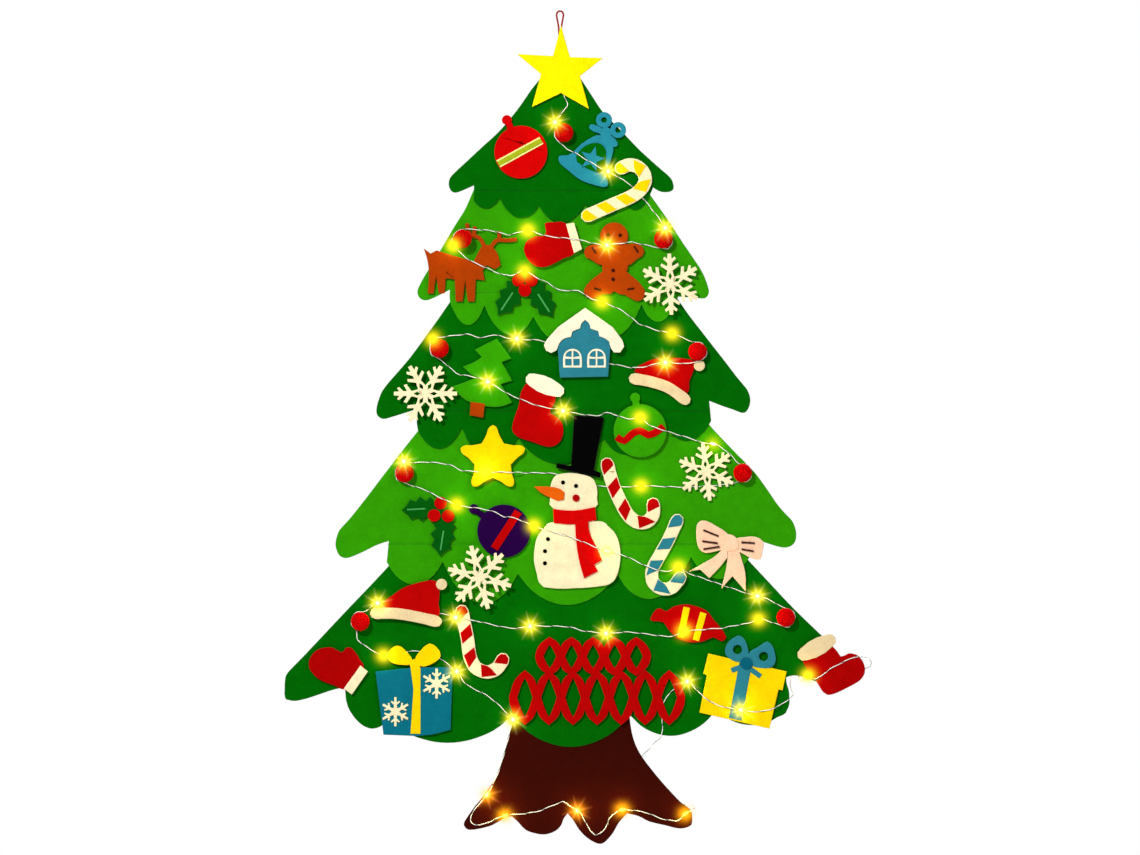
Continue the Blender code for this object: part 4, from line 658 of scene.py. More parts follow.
def cut_out(faces, rim, pitch, extra=(), moves=()):
    """A merged, rounded and gridded flat mesh, ready for slab()."""
    flat = outline_mesh(faces)
    draw_corners(flat, moves)
    soften_rim(flat, rim)
    cut_grid(flat, pitch, extra)
    flat.verts.index_update()
    return flat


def finished(name, built, materials):
    """Turns a bmesh into an object at the origin with its materials."""
    mesh = bpy.data.meshes.new(name)
    built.to_mesh(mesh)
    built.free()
    for material in materials:
        mesh.materials.append(material)
    made = bpy.data.objects.new(name, mesh)
    scene.collection.objects.link(made)
    return made


def body_of_node(node_name):
    """Name of the CAD body that a node rides on."""
    return nodes[node_name]["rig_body"]


print("felt stands up to", UNEVEN * 1000, "mm out of its plane")

# %% [markdown]
# ## Tiers and trunk
# A tier is one sheet of 2 mm felt with a scalloped hem sewn on along a straight seam between its
# two lower lobes. Cloth simulation could drape it, but the real felt is stiff and hangs flat
# against the wall. So each sheet is a slab from its CAD outline, with a shallow groove along the
# seam, where the thread pulls the felt in. The stitches come later.

# %% Seams of the tiers
TIER_RIM = 0.0009
TIER_PITCH = 0.010
SEAM_DEPTH = 0.00055
SEAM_HALF = 0.0013
SEAMS = {  # the two ends of each seam, in pixels of the photograph
    "tier_1": ((476, 191), (650, 191)),
    "tier_2": ((452, 293), (684, 293)),
    "tier_3": ((420, 411), (708, 411)),
    "tier_4": ((389, 544), (750, 544)),
}
TIER_FELTS = {
    "tier_1": "dark_green", "tier_2": "light_green", "tier_3": "dark_green",
    "tier_4": "light_green", "tier_5": "dark_green", "trunk": "trunk",
}


def seam_crease(node_name):
    """The groove along a tier's seam, as a depth at a point, and the cuts that it needs."""
    if node_name not in SEAMS:
        return None, ()
    (left, level), (right, _) = SEAMS[node_name]
    start, height = pixel(left, level)
    end, _ = pixel(right, level)

    def crease(x, y):
        if not start < x < end or abs(y - height) > SEAM_HALF:
            return 0.0
        return -SEAM_DEPTH * (1 - abs(y - height) / SEAM_HALF)

    return crease, (height - SEAM_HALF, height, height + SEAM_HALF)


print(len(SEAMS), "seams")

# %% Sheets of felt
sheets = {}
for name, colour in TIER_FELTS.items():
    front = flat_faces(name, 1)[-1][0]
    back = flat_faces(name, -1)[0][0]
    crease, cuts = seam_crease(name)
    flat = cut_out([corners for _, corners in flat_faces(name, 1)], TIER_RIM, TIER_PITCH, cuts)
    area = sum(face.calc_area() for face in flat.faces)
    built = bmesh.new()
    slab(built, flat, back, front, 0, len(sheets), crease)
    flat.free()
    sheet = finished(name + "_felt", built, [FELTS[colour]])
    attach(sheet, body_of_node(name))
    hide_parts(name)
    sheets[name] = {"piece": sheet, "area": area, "front": front}
    print(name, "felt", round(area, 4), "m2", len(sheet.data.polygons), "faces")

# %% [markdown]
# ## Ornaments
# Every ornament is a piece of felt with smaller pieces sewn or pressed on, and a patch of hook
# tape on its back. Each could be its own small script, but they differ only in outline and
# colour, so one loop cuts them all. The table names the felt of each layer from the lowest up.

# %% Felts of the ornaments
ORNAMENTS = {
    "top_star": ("lemon",),
    "red_bauble": ("bright_red", "pale_yellow", "olive"),
    "green_bauble": ("light_green", "red"),
    "purple_bauble": ("purple", "red"),
    "yellow_star": ("yellow",),
    "blue_bell": ("sky_blue", "dark_green", "sky_blue"),
    "yellow_candy_cane": ("cream", "yellow"),
    "upper_red_cane": ("cream", "red"),
    "lower_red_cane": ("cream", "red"),
    "blue_cane": ("cream", "blue"),
    "wrapped_candy": ("red", "yellow"),
    "snowflake_1": ("cream",),
    "snowflake_2": ("cream",),
    "snowflake_3": ("cream",),
    "snowflake_4": ("cream",),
    "left_santa_hat": ("red", "cuff", "cuff"),
    "right_santa_hat": ("red", "cuff", "cuff"),
    "upper_mitten": ("red", "cream"),
    "lower_mitten": ("dark_red", "cream"),
    "upper_stocking": ("red", "white"),
    "lower_stocking": ("dark_red", "cuff"),
    "upper_holly": ("holly_green", "leaf_vein", "red"),
    "lower_holly": ("holly_green", "leaf_vein", "red"),
    "little_tree": ("light_green", "brown"),
    "reindeer": ("brown",),
    "gingerbread_man": ("gingerbread", "dark_brown"),
    "cottage": ("blue", "white", "white"),
    "snowman": ("cream", "black", "dark_red"),
    "snowman_hat": ("black",),
    "snowman_nose": ("orange",),
    "snowman_scarf": ("bright_red", "bright_red"),
    "pink_bow": ("salmon", "salmon", "dark_salmon"),
    "blue_gift": ("gift_blue", "yellow", "cream"),
    "yellow_gift": ("yellow", "blue", "dark_blue"),
    "red_garland": ("red",),
}
print(len(ORNAMENTS), "ornaments")

# %% [markdown]
# ## Layers and patches
# The lowest layer's outline comes from its back faces, because in front the layer over it hides
# a part. Faces further back still are the patch's. The gingerbread man's limbs meet its body in
# gentle curves, where its solid has sharp corners, so three corners of its outline are moved.

# %% Sizes of the layers
RIM = {"felt": 0.00095, "trim": 0.00055, "top": 0.00055}
FINE_RIM = 0.0005
FINE = ("snowflake_1", "snowflake_2", "snowflake_3", "snowflake_4", "red_garland")  # slender
PITCH = 0.005  # of the grid that lets a layer's surface be uneven
FELT_THICKNESS = 0.0022
LAYER_THICKNESS = {"felt": FELT_THICKNESS, "trim": 0.0014, "top": 0.0027}
PATCH_CLEAR = 0.0010  # patch faces lie at least this far behind the felt's back
LEGS_REACH = 1.8  # the outline follows a corner up to this many times as far as it moves
LEFT_ARMPIT_REACH = 2.0
RIGHT_ARMPIT_REACH = 1.8
MOVED_CORNERS = {  # where a corner is, where it goes, and its reach
    "gingerbread_man": (
        ((614, 283), (614, 292), LEGS_REACH),
        ((602, 260), (602, 266), LEFT_ARMPIT_REACH),
        ((626, 260), (627, 267), RIGHT_ARMPIT_REACH),
    ),
}


def felt_outlines(node_name, felt_front):
    """Back faces of the lowest layer with the patch under it, and the patch's own faces."""
    under, patch = [], []
    for height, corners in flat_faces(node_name, -1):
        behind = felt_front - height
        if behind > FELT_THICKNESS + PATCH_CLEAR:
            patch.append((height, corners))
        if behind > FELT_THICKNESS - NEW_LAYER:
            under.append(corners)
    return under, patch


print(len(MOVED_CORNERS["gingerbread_man"]), "corners of the gingerbread man are moved")

# %% [markdown]
# ## Hook tape
# Hook tape is a stiff white band with a field of tiny plastic hooks. Single hooks would be far
# too many for something that only shows from behind, so the cells of a Voronoi texture draw
# them: each cell is pale and low in its middle, and higher towards its edge, where it is painted
# darker as the shade among the hooks.

# %% Hook tape material
HOOK_SCALE = 900
HOOK_DEPTH = 0.0005

hook_tape, tree, surface = new_material("hook_tape")
hooks = tree.nodes.new("ShaderNodeTexVoronoi")
hooks.inputs["Scale"].default_value = HOOK_SCALE
tree.links.new(object_place(tree), hooks.inputs["Vector"])
# darker towards each cell's edge: painted shade among the hooks
tape_painted_shade = ramp(tree, hooks.outputs["Distance"], [
    (0.0, (0.75, 0.74, 0.70, 1)), (0.8, (0.34, 0.33, 0.31, 1)),
])
tree.links.new(tape_painted_shade, surface.inputs["Base Color"])
tree.links.new(bump(tree, hooks.outputs["Distance"], HOOK_DEPTH), surface.inputs["Normal"])
set_surface(surface, {"Roughness": 0.6})
print("hooks", round(1000 / HOOK_SCALE, 1), "mm apart")

# %% Cut every ornament
FIRST_SEED = 20  # the tiers and the trunk have the seeds from 0

for seed, (name, colours) in enumerate(ORNAMENTS.items(), FIRST_SEED):
    layers = layers_of(name)
    felt_front = layers[0][0]
    under, patch = felt_outlines(name, felt_front)
    built = bmesh.new()
    for index, ((front, faces), layer) in enumerate(zip(layers, LAYER_NAMES)):
        rim = FINE_RIM if name in FINE else RIM[layer]
        outline = under if index == 0 else faces
        moves = MOVED_CORNERS.get(name, ()) if index == 0 else ()
        flat = cut_out(outline, rim, PITCH, moves=moves)
        slab(built, flat, front - LAYER_THICKNESS[layer], front, index, seed + index)
        flat.free()
    materials = [FELTS[colour] for colour in colours[:len(layers)]]
    if patch:
        flat = cut_out([corners for _, corners in patch], FINE_RIM, PITCH)
        slab(built, flat, patch[0][0], felt_front - FELT_THICKNESS, len(materials), seed)
        flat.free()
        materials.append(hook_tape)
    piece = finished(name + "_felt", built, materials)
    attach(piece, body_of_node(name))
    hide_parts(name)
    print(name, len(layers), "layers", len(piece.data.polygons), "faces")

# %% [markdown]
# ## Geometry Nodes helpers
# Stitches, strands and tufts repeat hundreds of times. A loop in Python could copy a mesh for
# each, but a small node tree does it faster and keeps its sizes as named inputs. The result of a
# tree is made a plain mesh before it rides on its body, because an export drops instances.

# %% Helpers for node trees
def new_tree(name, inputs):
    """A geometry tree with named inputs; returns it with its input and output nodes."""
    tree = bpy.data.node_groups.new(name, "GeometryNodeTree")
    tree.interface.new_socket("Geometry", in_out="INPUT", socket_type="NodeSocketGeometry")
    for label, kind in inputs:
        tree.interface.new_socket(label, in_out="INPUT", socket_type="NodeSocket" + kind)
    tree.interface.new_socket("Geometry", in_out="OUTPUT", socket_type="NodeSocketGeometry")
    return tree, tree.nodes.new("NodeGroupInput"), tree.nodes.new("NodeGroupOutput")


def node(tree, kind, settings=None, **sockets):
    """Adds a node; a socket, by its name or as _number, gets a value or another socket."""
    made = tree.nodes.new(kind)
    for key, value in (settings or {}).items():
        setattr(made, key, value)
    for label, value in sockets.items():
        if label[0] == "_":
            socket = made.inputs[int(label[1:])]
        else:
            socket = made.inputs[label.replace("_", " ")]
        if isinstance(value, bpy.types.NodeSocket):
            tree.links.new(value, socket)
        else:
            socket.default_value = value
    return made


def run_tree(tree, source, values, name):
    """Runs a tree on an object and returns the result as a new plain mesh object."""
    modifier = source.modifiers.new("maker", "NODES")
    modifier.node_group = tree
    for item in tree.interface.items_tree:
        if item.in_out == "INPUT" and item.name in values:
            modifier[item.identifier] = values[item.name]
    depsgraph = bpy.context.evaluated_depsgraph_get()
    mesh = bpy.data.meshes.new_from_object(source.evaluated_get(depsgraph))
    mesh.name = name
    made = bpy.data.objects.new(name, mesh)
    scene.collection.objects.link(made)
    bpy.data.objects.remove(source)
    return made


def path_object(name, points):
    """A poly curve through points."""
    curve = bpy.data.curves.new(name, "CURVE")
    curve.dimensions = "3D"
    spline = curve.splines.new("POLY")
    spline.points.add(len(points) - 1)
    for target, point in zip(spline.points, points):
        target.co = (*point, 1)
    made = bpy.data.objects.new(name, curve)
    scene.collection.objects.link(made)
    return made


print("helpers for node trees ready")

# %% [markdown]
# ## Seams
# The hems are machine-sewn with thread in the hue of the felt, painted darker as the shade along
# the seam, so a seam shows as a fine row of stitches that pull the felt in. A bump could paint
# them, but seen from the side they would vanish. So each stitch is a short arch of thread, and a
# node tree that walks along the seam sets one at every step.

# %% Tree for a row of stitches
THREAD_SIDES = 5
ARCH_STEPS = 4


def stitches_tree():
    """A tree that sets arched stitches along a path."""
    tree, start, end = new_tree("seam_stitches", [
        ("Pitch", "Float"), ("Stitch length", "Float"), ("Arch", "Float"),
        ("Thread radius", "Float"), ("Outward", "Vector"), ("Material", "Material"),
    ])
    steps = node(
        tree, "GeometryNodeResampleCurve", {"mode": "LENGTH"},
        Curve=start.outputs["Geometry"], Length=start.outputs["Pitch"],
    ).outputs["Curve"]
    tangent = node(tree, "GeometryNodeInputTangent").outputs["Tangent"]
    turn = node(
        tree, "FunctionNodeAxesToRotation", {"primary_axis": "Z", "secondary_axis": "X"},
        _0=start.outputs["Outward"], _1=tangent,
    ).outputs["Rotation"]
    half = maths(tree, "MULTIPLY", start.outputs["Stitch length"], 0.5)
    first = node(tree, "ShaderNodeCombineXYZ", _0=maths(tree, "MULTIPLY", half, -1.0))
    top = node(tree, "ShaderNodeCombineXYZ", _2=start.outputs["Arch"])
    last = node(tree, "ShaderNodeCombineXYZ", _0=half)
    arch = node(
        tree, "GeometryNodeCurveQuadraticBezier", Resolution=ARCH_STEPS,
        Start=first.outputs["Vector"], Middle=top.outputs["Vector"], End=last.outputs["Vector"],
    ).outputs["Curve"]
    section = node(
        tree, "GeometryNodeCurvePrimitiveCircle", {"mode": "RADIUS"},
        Resolution=THREAD_SIDES, Radius=start.outputs["Thread radius"],
    ).outputs["Curve"]
    stitch = node(
        tree, "GeometryNodeCurveToMesh", Curve=arch, Profile_Curve=section, Fill_Caps=True,
    ).outputs["Mesh"]
    row = node(
        tree, "GeometryNodeInstanceOnPoints", Points=steps, Instance=stitch, Rotation=turn,
    ).outputs["Instances"]
    real = node(tree, "GeometryNodeRealizeInstances", Geometry=row).outputs["Geometry"]
    smooth = node(tree, "GeometryNodeSetShadeSmooth", Geometry=real).outputs["Geometry"]
    painted = node(
        tree, "GeometryNodeSetMaterial", Geometry=smooth, Material=start.outputs["Material"]
    ).outputs["Geometry"]
    tree.links.new(painted, end.inputs["Geometry"])
    return tree


seam_rows = stitches_tree()
print("stitches:", len(seam_rows.nodes), "nodes")

# %% Sewing thread
TWIST_TURN = 0.7
TWIST_SCALE = (5200, 5200, 900)
TWIST_DEPTH = 0.0001


def thread(name, colour):
    """Sewing thread with a slight twist."""
    made, tree, surface = new_material(name)
    twist = noise(tree, turned(tree, object_place(tree), TWIST_TURN, TWIST_SCALE), 1.0, 1.0)
    tone = ramp(tree, twist, [(0.3, scaled(colour, 0.6)), (0.7, scaled(colour, 1.3))])
    tree.links.new(tone, surface.inputs["Base Color"])
    tree.links.new(bump(tree, twist, TWIST_DEPTH), surface.inputs["Normal"])
    set_surface(surface, {"Roughness": 0.6, "Specular IOR Level": 0.2})
    return made


# each thread is painted about half as bright as its felt: painted shade along the seam
THREADS = {
    "dark_green": thread("dark_green_thread", (0.0004, 0.055, 0.0006)),
    "light_green": thread("light_green_thread", (0.020, 0.175, 0.001)),
}
print(len(THREADS), "threads")

# %% [markdown]
# ## Stitches on the tiers
# Each seam runs straight between its two ends, at the bottom of its groove.

# %% Rows of stitches
STITCH_PITCH = 0.0038
STITCH_LENGTH = 0.0029
STITCH_ARCH = 0.0009
THREAD_RADIUS = 0.00026

for name, made in sheets.items():
    if name in SEAMS:
        ends = [pixel(*spot) for spot in SEAMS[name]]
        level = made["front"] - SEAM_DEPTH
        seam_path = path_object(name + "_seam_path", [place(*spot, level) for spot in ends])
        row = run_tree(seam_rows, seam_path, {
            "Pitch": STITCH_PITCH, "Stitch length": STITCH_LENGTH, "Arch": STITCH_ARCH,
            "Thread radius": THREAD_RADIUS, "Outward": tuple(FORWARD),
            "Material": THREADS[TIER_FELTS[name]],
        }, name + "_seam")
        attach(row, body_of_node(name))
        print(name, "seam", len(row.data.polygons), "faces")
    low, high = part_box(name)

# %% [markdown]
# ## Cords and wire
# The hanging loop is a laid cord of three red plies, and the light wire is a pair of fine silver
# wires twisted together. One tube with a twisted bump would pass from afar, but its outline would
# be straight. Both are strands that wind round one path, so one tree makes both: it smooths the
# path, moves each strand off it by a turning offset, and gives it a round section.

# %% Tree for laid strands
def strands_tree(count):
    """A tree that lays a number of strands round a path."""
    tree, start, end = new_tree("laid_strands_" + str(count), [
        ("Lay radius", "Float"), ("Turn length", "Float"), ("Step", "Float"), ("Sides", "Int"),
        *(("Radius " + str(strand + 1), "Float") for strand in range(count)),
        *(("Strand " + str(strand + 1), "Material") for strand in range(count)),
    ])
    smooth = node(
        tree, "GeometryNodeCurveSplineType", {"spline_type": "CATMULL_ROM"},
        Curve=start.outputs["Geometry"],
    )
    path = node(
        tree, "GeometryNodeResampleCurve", {"mode": "LENGTH"},
        Curve=smooth.outputs["Curve"], Length=start.outputs["Step"],
    )
    along = node(tree, "GeometryNodeSplineParameter").outputs["Length"]
    normal = node(tree, "GeometryNodeInputNormal").outputs["Normal"]
    tangent = node(tree, "GeometryNodeInputTangent").outputs["Tangent"]
    sideways = node(
        tree, "ShaderNodeVectorMath", {"operation": "CROSS_PRODUCT"}, _0=tangent, _1=normal
    ).outputs["Vector"]
    turns = maths(tree, "DIVIDE", along, start.outputs["Turn length"])
    angle = maths(tree, "MULTIPLY", turns, math.tau)
    strands = node(tree, "GeometryNodeJoinGeometry")
    for strand in range(count):
        profile = node(
            tree, "GeometryNodeCurvePrimitiveCircle", {"mode": "RADIUS"},
            Resolution=start.outputs["Sides"], Radius=start.outputs["Radius " + str(strand + 1)],
        ).outputs["Curve"]
        phase = maths(tree, "ADD", angle, math.tau * strand / count)
        outward = maths(tree, "MULTIPLY", maths(tree, "COSINE", phase), start.outputs["Lay radius"])
        aside = maths(tree, "MULTIPLY", maths(tree, "SINE", phase), start.outputs["Lay radius"])
        first = node(
            tree, "ShaderNodeVectorMath", {"operation": "SCALE"}, _0=normal, Scale=outward
        ).outputs["Vector"]
        second = node(
            tree, "ShaderNodeVectorMath", {"operation": "SCALE"}, _0=sideways, Scale=aside
        ).outputs["Vector"]
        offset = node(
            tree, "ShaderNodeVectorMath", {"operation": "ADD"}, _0=first, _1=second
        ).outputs["Vector"]
        moved = node(
            tree, "GeometryNodeSetPosition", Geometry=path.outputs["Curve"], Offset=offset
        )
        tube = node(
            tree, "GeometryNodeCurveToMesh",
            Curve=moved.outputs["Geometry"], Profile_Curve=profile, Fill_Caps=True,
        )
        painted = node(
            tree, "GeometryNodeSetMaterial",
            Geometry=tube.outputs["Mesh"], Material=start.outputs["Strand " + str(strand + 1)],
        )
        tree.links.new(painted.outputs["Geometry"], strands.inputs["Geometry"])
    smooth_shaded = node(
        tree, "GeometryNodeSetShadeSmooth", Geometry=strands.outputs["Geometry"]
    )
    real = node(tree, "GeometryNodeRealizeInstances", Geometry=smooth_shaded.outputs["Geometry"])
    tree.links.new(real.outputs["Geometry"], end.inputs["Geometry"])
    return tree


def length_of(points):
    """Length of a path."""
    return sum((b - a).length for a, b in zip(points, points[1:]))


cord_strands = strands_tree(3)
wire_strands = strands_tree(2)
print("strands:", len(cord_strands.nodes), "and", len(wire_strands.nodes), "nodes")

# %% [markdown]
# ## Yarn
# Cord and pompoms are of fluffy red yarn. A fine noise between a dark and a bright red gives it
# depth, and the same noise as a bump breaks up its shine. A colour picture would do as well, but
# it would need its own map on every piece, and noise needs none.

# %% Red yarn
def yarn(name, scale, detail, tones, depth):
    """Fluffy yarn between two tones; returns its shader too, for its own finish."""
    made, tree, surface = new_material(name)
    fluff = noise(tree, object_place(tree), scale, detail)
    tree.links.new(ramp(tree, fluff, tones), surface.inputs["Base Color"])
    tree.links.new(bump(tree, fluff, depth), surface.inputs["Normal"])
    return made, surface


cord_tones = [(0.35, (0.22, 0.0, 0.003, 1)), (0.65, (0.50, 0.002, 0.006, 1))]
red_yarn, surface = yarn("red_cord_fibre", 2600.0, 3.0, cord_tones, 0.0003)
set_surface(surface, {"Roughness": 0.85, "Specular IOR Level": 0.1, "Sheen Weight": 0.08})
print("cord yarn mixed")

# %% [markdown]
# ## Hanging loop
# The cord comes up behind the top tier, narrows to a neck and opens into a round eye for a nail.
# It could be bent from a circle, but the eye has to meet two straight legs without a kink. So one
# leg is set point by point, the eye is half a circle, and the other leg is the first one mirrored.

# %% Path and plies of the loop
LOOP_CORD = 0.0022
LOOP_EYE = 0.0056
LOOP_LENGTH = 0.062
LOOP_NECK = 0.022
LOOP_GAP = 0.0003
LOOP_STEPS = 12
PLY_SHARE = 0.27  # a ply's radius, in cord diameters
PLY_LAY = 0.25  # how far its middle lies off the cord's, in cord diameters
PLY_TURN = 0.0065
PLY_STEP = 0.0006
PLY_SIDES = 8

cord_radius = LOOP_CORD / 2
eye_half = LOOP_EYE / 2 + cord_radius
neck_half = cord_radius + LOOP_GAP
side = [
    Vector((neck_half, 0, cord_radius - LOOP_LENGTH)),
    Vector((neck_half, 0, cord_radius - (LOOP_LENGTH + LOOP_NECK) / 2)),
    Vector((neck_half, 0, cord_radius - LOOP_NECK)),
    Vector((eye_half, 0, -LOOP_EYE)),
]
eye = []
for step in range(LOOP_STEPS + 1):
    turn = math.pi * step / LOOP_STEPS
    eye.append(Vector((
        eye_half * math.cos(turn), 0, cord_radius - eye_half + eye_half * math.sin(turn),
    )))
loop_path = side + eye + [Vector((-p.x, 0, p.z)) for p in reversed(side)]
ply = LOOP_CORD * PLY_SHARE
loop = run_tree(cord_strands, path_object("loop_path", loop_path), {
    "Lay radius": LOOP_CORD * PLY_LAY, "Turn length": PLY_TURN, "Step": PLY_STEP,
    "Sides": PLY_SIDES, "Radius 1": ply, "Radius 2": ply, "Radius 3": ply,
    "Strand 1": red_yarn, "Strand 2": red_yarn, "Strand 3": red_yarn,
}, "hanging_loop_cord")
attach(loop, body_of_node("hanging_loop"))
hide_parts("hanging_loop")
print("hanging loop", round(length_of(loop_path) * 1000), "mm of cord")

# %% [markdown]
# ## The string of lights
# The CAD node of the string is a tube whose rings follow the real route over the felt, round the
# pompoms and into the battery box, and the tube is fat where a lamp is. The route could be typed
# in again, but it would no longer be the solid's if that changed. So the script walks the tube
# ring by ring from the box. The rings' centres are the path, and two fat rings mark one lamp.

# %% Path of the wire
RING_START = 0.0016  # the first ring lies within this distance of the middle of the box's face
FAT = 0.0012  # and a ring is fat when it is wider than this

tube = bmesh.new()
tube.from_mesh(nodes["light_string"].data)
bmesh.ops.remove_doubles(tube, verts=tube.verts, dist=SAME_POINT)
box_low, box_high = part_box("battery_box")
gland_face = Vector((box_high.x, (box_low.y + box_high.y) / 2, (box_low.z + box_high.z) / 2))
ring = [vert for vert in tube.verts if (vert.co - gland_face).length < RING_START]
reached = set(ring)
wire_path, fat_rings = [], []
while ring:
    centre = sum((vert.co for vert in ring), Vector()) / len(ring)
    if max((vert.co - centre).length for vert in ring) > FAT:
        fat_rings.append(centre)
    wire_path.append(centre)
    following = []
    for vert in ring:
        for edge in vert.link_edges:
            other = edge.other_vert(vert)
            if other not in reached:
                reached.add(other)
                following.append(other)
    ring = following
tube.free()
lamps = list(zip(fat_rings[::2], fat_rings[1::2]))
print("wire", round(length_of(wire_path), 3), "m,", len(lamps), "lamps")

# %% [markdown]
# ## Strands of the wire
# In the photograph the wire is a white line with dark gaps. A true metal mirrors what stands
# round it, and that is dim here, so the strands' light and shade are painted: a thick near-white
# one for the metal's painted reflection and a thin dark one for painted shadow, and the gaps
# come from their twist.

# %% Wire material and strands
BRIGHT_STRAND = 0.00048
DARK_STRAND = 0.00028
LAY_RADIUS = 0.00034
WIRE_TURN = 0.021
WIRE_STEP = 0.0016
WIRE_SIDES = 6
WIRE_TONE_SCALE = 140.0
DULL_BLUE = 0.93  # how much blue is left in the dull tone
BRIGHT_BLUE = 0.96


def wire_metal(name, dull, bright):
    """A wire strand painted between two tones, with a soft shine."""
    made, tree, surface = new_material(name)
    tone_noise = noise(tree, object_place(tree), WIRE_TONE_SCALE, 3.0)
    tone = ramp(tree, tone_noise, [
        (0.3, (dull, dull, dull * DULL_BLUE, 1)),
        (0.7, (bright, bright, bright * BRIGHT_BLUE, 1)),
    ])
    tree.links.new(tone, surface.inputs["Base Color"])
    set_surface(surface, {"Roughness": 0.25})
    return made


# near white: the silver metal's reflection painted into its colour
silver = wire_metal("silver_wire_metal", 0.95, 1.0)
# near black: the shadow beside the wire painted into a thin strand
painted_shadow_strand = wire_metal("painted_shadow_wire_metal", 0.02, 0.12)
wire = run_tree(wire_strands, path_object("wire_path", wire_path), {
    "Lay radius": LAY_RADIUS, "Turn length": WIRE_TURN, "Step": WIRE_STEP, "Sides": WIRE_SIDES,
    "Radius 1": BRIGHT_STRAND, "Radius 2": DARK_STRAND,
    "Strand 1": silver, "Strand 2": painted_shadow_strand,
}, "light_wire")
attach(wire, body_of_node("light_string"))
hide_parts("light_string")
print("wire mesh", len(wire.data.polygons), "faces")

# %% [markdown]
# ## Lamps
# Each lamp is a tiny LED in a drop of clear resin on the wire. Where the LED looks at the viewer
# its middle is dazzling, and where it looks aside the whole drop only glows. The lamps on the
# brown trunk look more orange. A material for each kind of lamp would do, but the light also
# fades towards the ends of a drop, so two attributes on its points hold its light and its colour.

# %% How bright each lamp is
DAZZLING = (  # pixels of the photograph at the lamps that look at the viewer
    (555, 123), (608, 172), (665, 228), (607, 246), (517, 339), (665, 363), (488, 382), (563, 411),
    (404, 461), (757, 596), (606, 633), (530, 626), (456, 617), (378, 603), (457, 671), (513, 719),
    (487, 794), (577, 810), (687, 681), (740, 709),
)
COVERED = ((607, 551), (713, 444))  # and at those that shine less
LAMP_REACH = 0.009
DAZZLE = 24.0
DAZZLE_FOCUS = 8  # the higher, the smaller the dazzling middle
GLOW = 7.5
COVERED_SHARE = 0.3
FAINT = 1.2
WARM = (1.0, 0.90, 0.30, 1)
ORANGE = (1.0, 0.15, 0.03, 1)
TRUNK_TOP = 740

drop_glow, tree, surface = new_material("lit_resin")
tree.links.new(attribute(tree, "tint", "Color"), surface.inputs["Emission Color"])
tree.links.new(attribute(tree, "shine", "Fac"), surface.inputs["Emission Strength"])
set_surface(surface, {"Base Color": (1.0, 0.85, 0.45, 1), "Roughness": 0.12})


def on_sheet(point):
    """Distances of a point across and up the sheet."""
    return Vector((point.dot(ACROSS), point.dot(UP)))


def is_one_of(spot, spots):
    """Whether a point of the sheet is at one of these pixels of the photograph."""
    return min((spot - Vector(pixel(*other))).length for other in spots) < LAMP_REACH


trunk_height = pixel(0, TRUNK_TOP)[1]
print(len(DAZZLING), "places of dazzling lamps")

# %% [markdown]
# ## Drops of resin
# A drop is a body of revolution. A stretched ball would be too pointed at its ends, so its radius
# follows a sine that is raised a little, ring by ring along the wire. A dozen sides are enough
# for something 4 mm wide.

# %% Lamp drops
DROP_HALF = 0.0040
DROP_RADIUS = 0.0019
DROP_TIP = 0.0001
DROP_FULLNESS = 0.8  # below 1 the drop is fuller towards its ends
DROP_SIDES = 12
DROP_RINGS = 9

drops = bmesh.new()
shine_of = drops.verts.layers.float.new("shine")
tint_of = drops.verts.layers.float_color.new("tint")
dazzling_lamps = 0
for first, second in lamps:
    middle = (first + second) / 2
    spot = on_sheet(middle)
    dazzles = is_one_of(spot, DAZZLING)
    glow = GLOW * COVERED_SHARE if is_one_of(spot, COVERED) else GLOW
    dazzling_lamps += dazzles
    colour = ORANGE if spot.y < trunk_height else WARM
    turn = (second - first).to_track_quat("Z", "Y")
    rings = []
    for step in range(DROP_RINGS + 1):
        angle = math.pi * step / DROP_RINGS
        radius = max(DROP_RADIUS * math.sin(angle) ** DROP_FULLNESS, DROP_TIP)
        along = -DROP_HALF * math.cos(angle)
        if dazzles:
            strength = FAINT + DAZZLE * math.sin(angle) ** DAZZLE_FOCUS
        else:
            strength = FAINT + glow * math.sin(angle)
        made = []
        for number in range(DROP_SIDES):
            spin = math.tau * number / DROP_SIDES
            offset = Vector((radius * math.cos(spin), radius * math.sin(spin), along))
            vert = drops.verts.new(middle + turn @ offset)
            vert[shine_of] = strength
            vert[tint_of] = colour
            made.append(vert)
        rings.append(made)
    for low_ring, high_ring in zip(rings, rings[1:]):
        for number in range(DROP_SIDES):
            after = (number + 1) % DROP_SIDES
            face = drops.faces.new((
                low_ring[number], low_ring[after], high_ring[after], high_ring[number],
            ))
            face.smooth = True
    drops.faces.new(rings[0][::-1])
    drops.faces.new(rings[-1])
print(dazzling_lamps, "lamps dazzle")
bulbs = finished("light_bulbs", drops, [drop_glow])
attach(bulbs, body_of_node("light_string"))

# %% [markdown]
# ## Light on the felt
# Each lamp throws a small pool of warm light on the felt round it. The glowing drops could light
# the felt themselves, but such small bright things give a speckled picture. A point light in
# front of each lamp gives a clean pool. The brown trunk swallows light, so its lamps get more.

# %% Pools of light
GLOW_HEIGHT = 0.013
GLOW_WATTS = 0.014
TRUNK_SHARE = 3  # times as many watts on the trunk
GLOW_COLOUR = (1.0, 0.80, 0.15)
GLOW_SIZE = 0.004

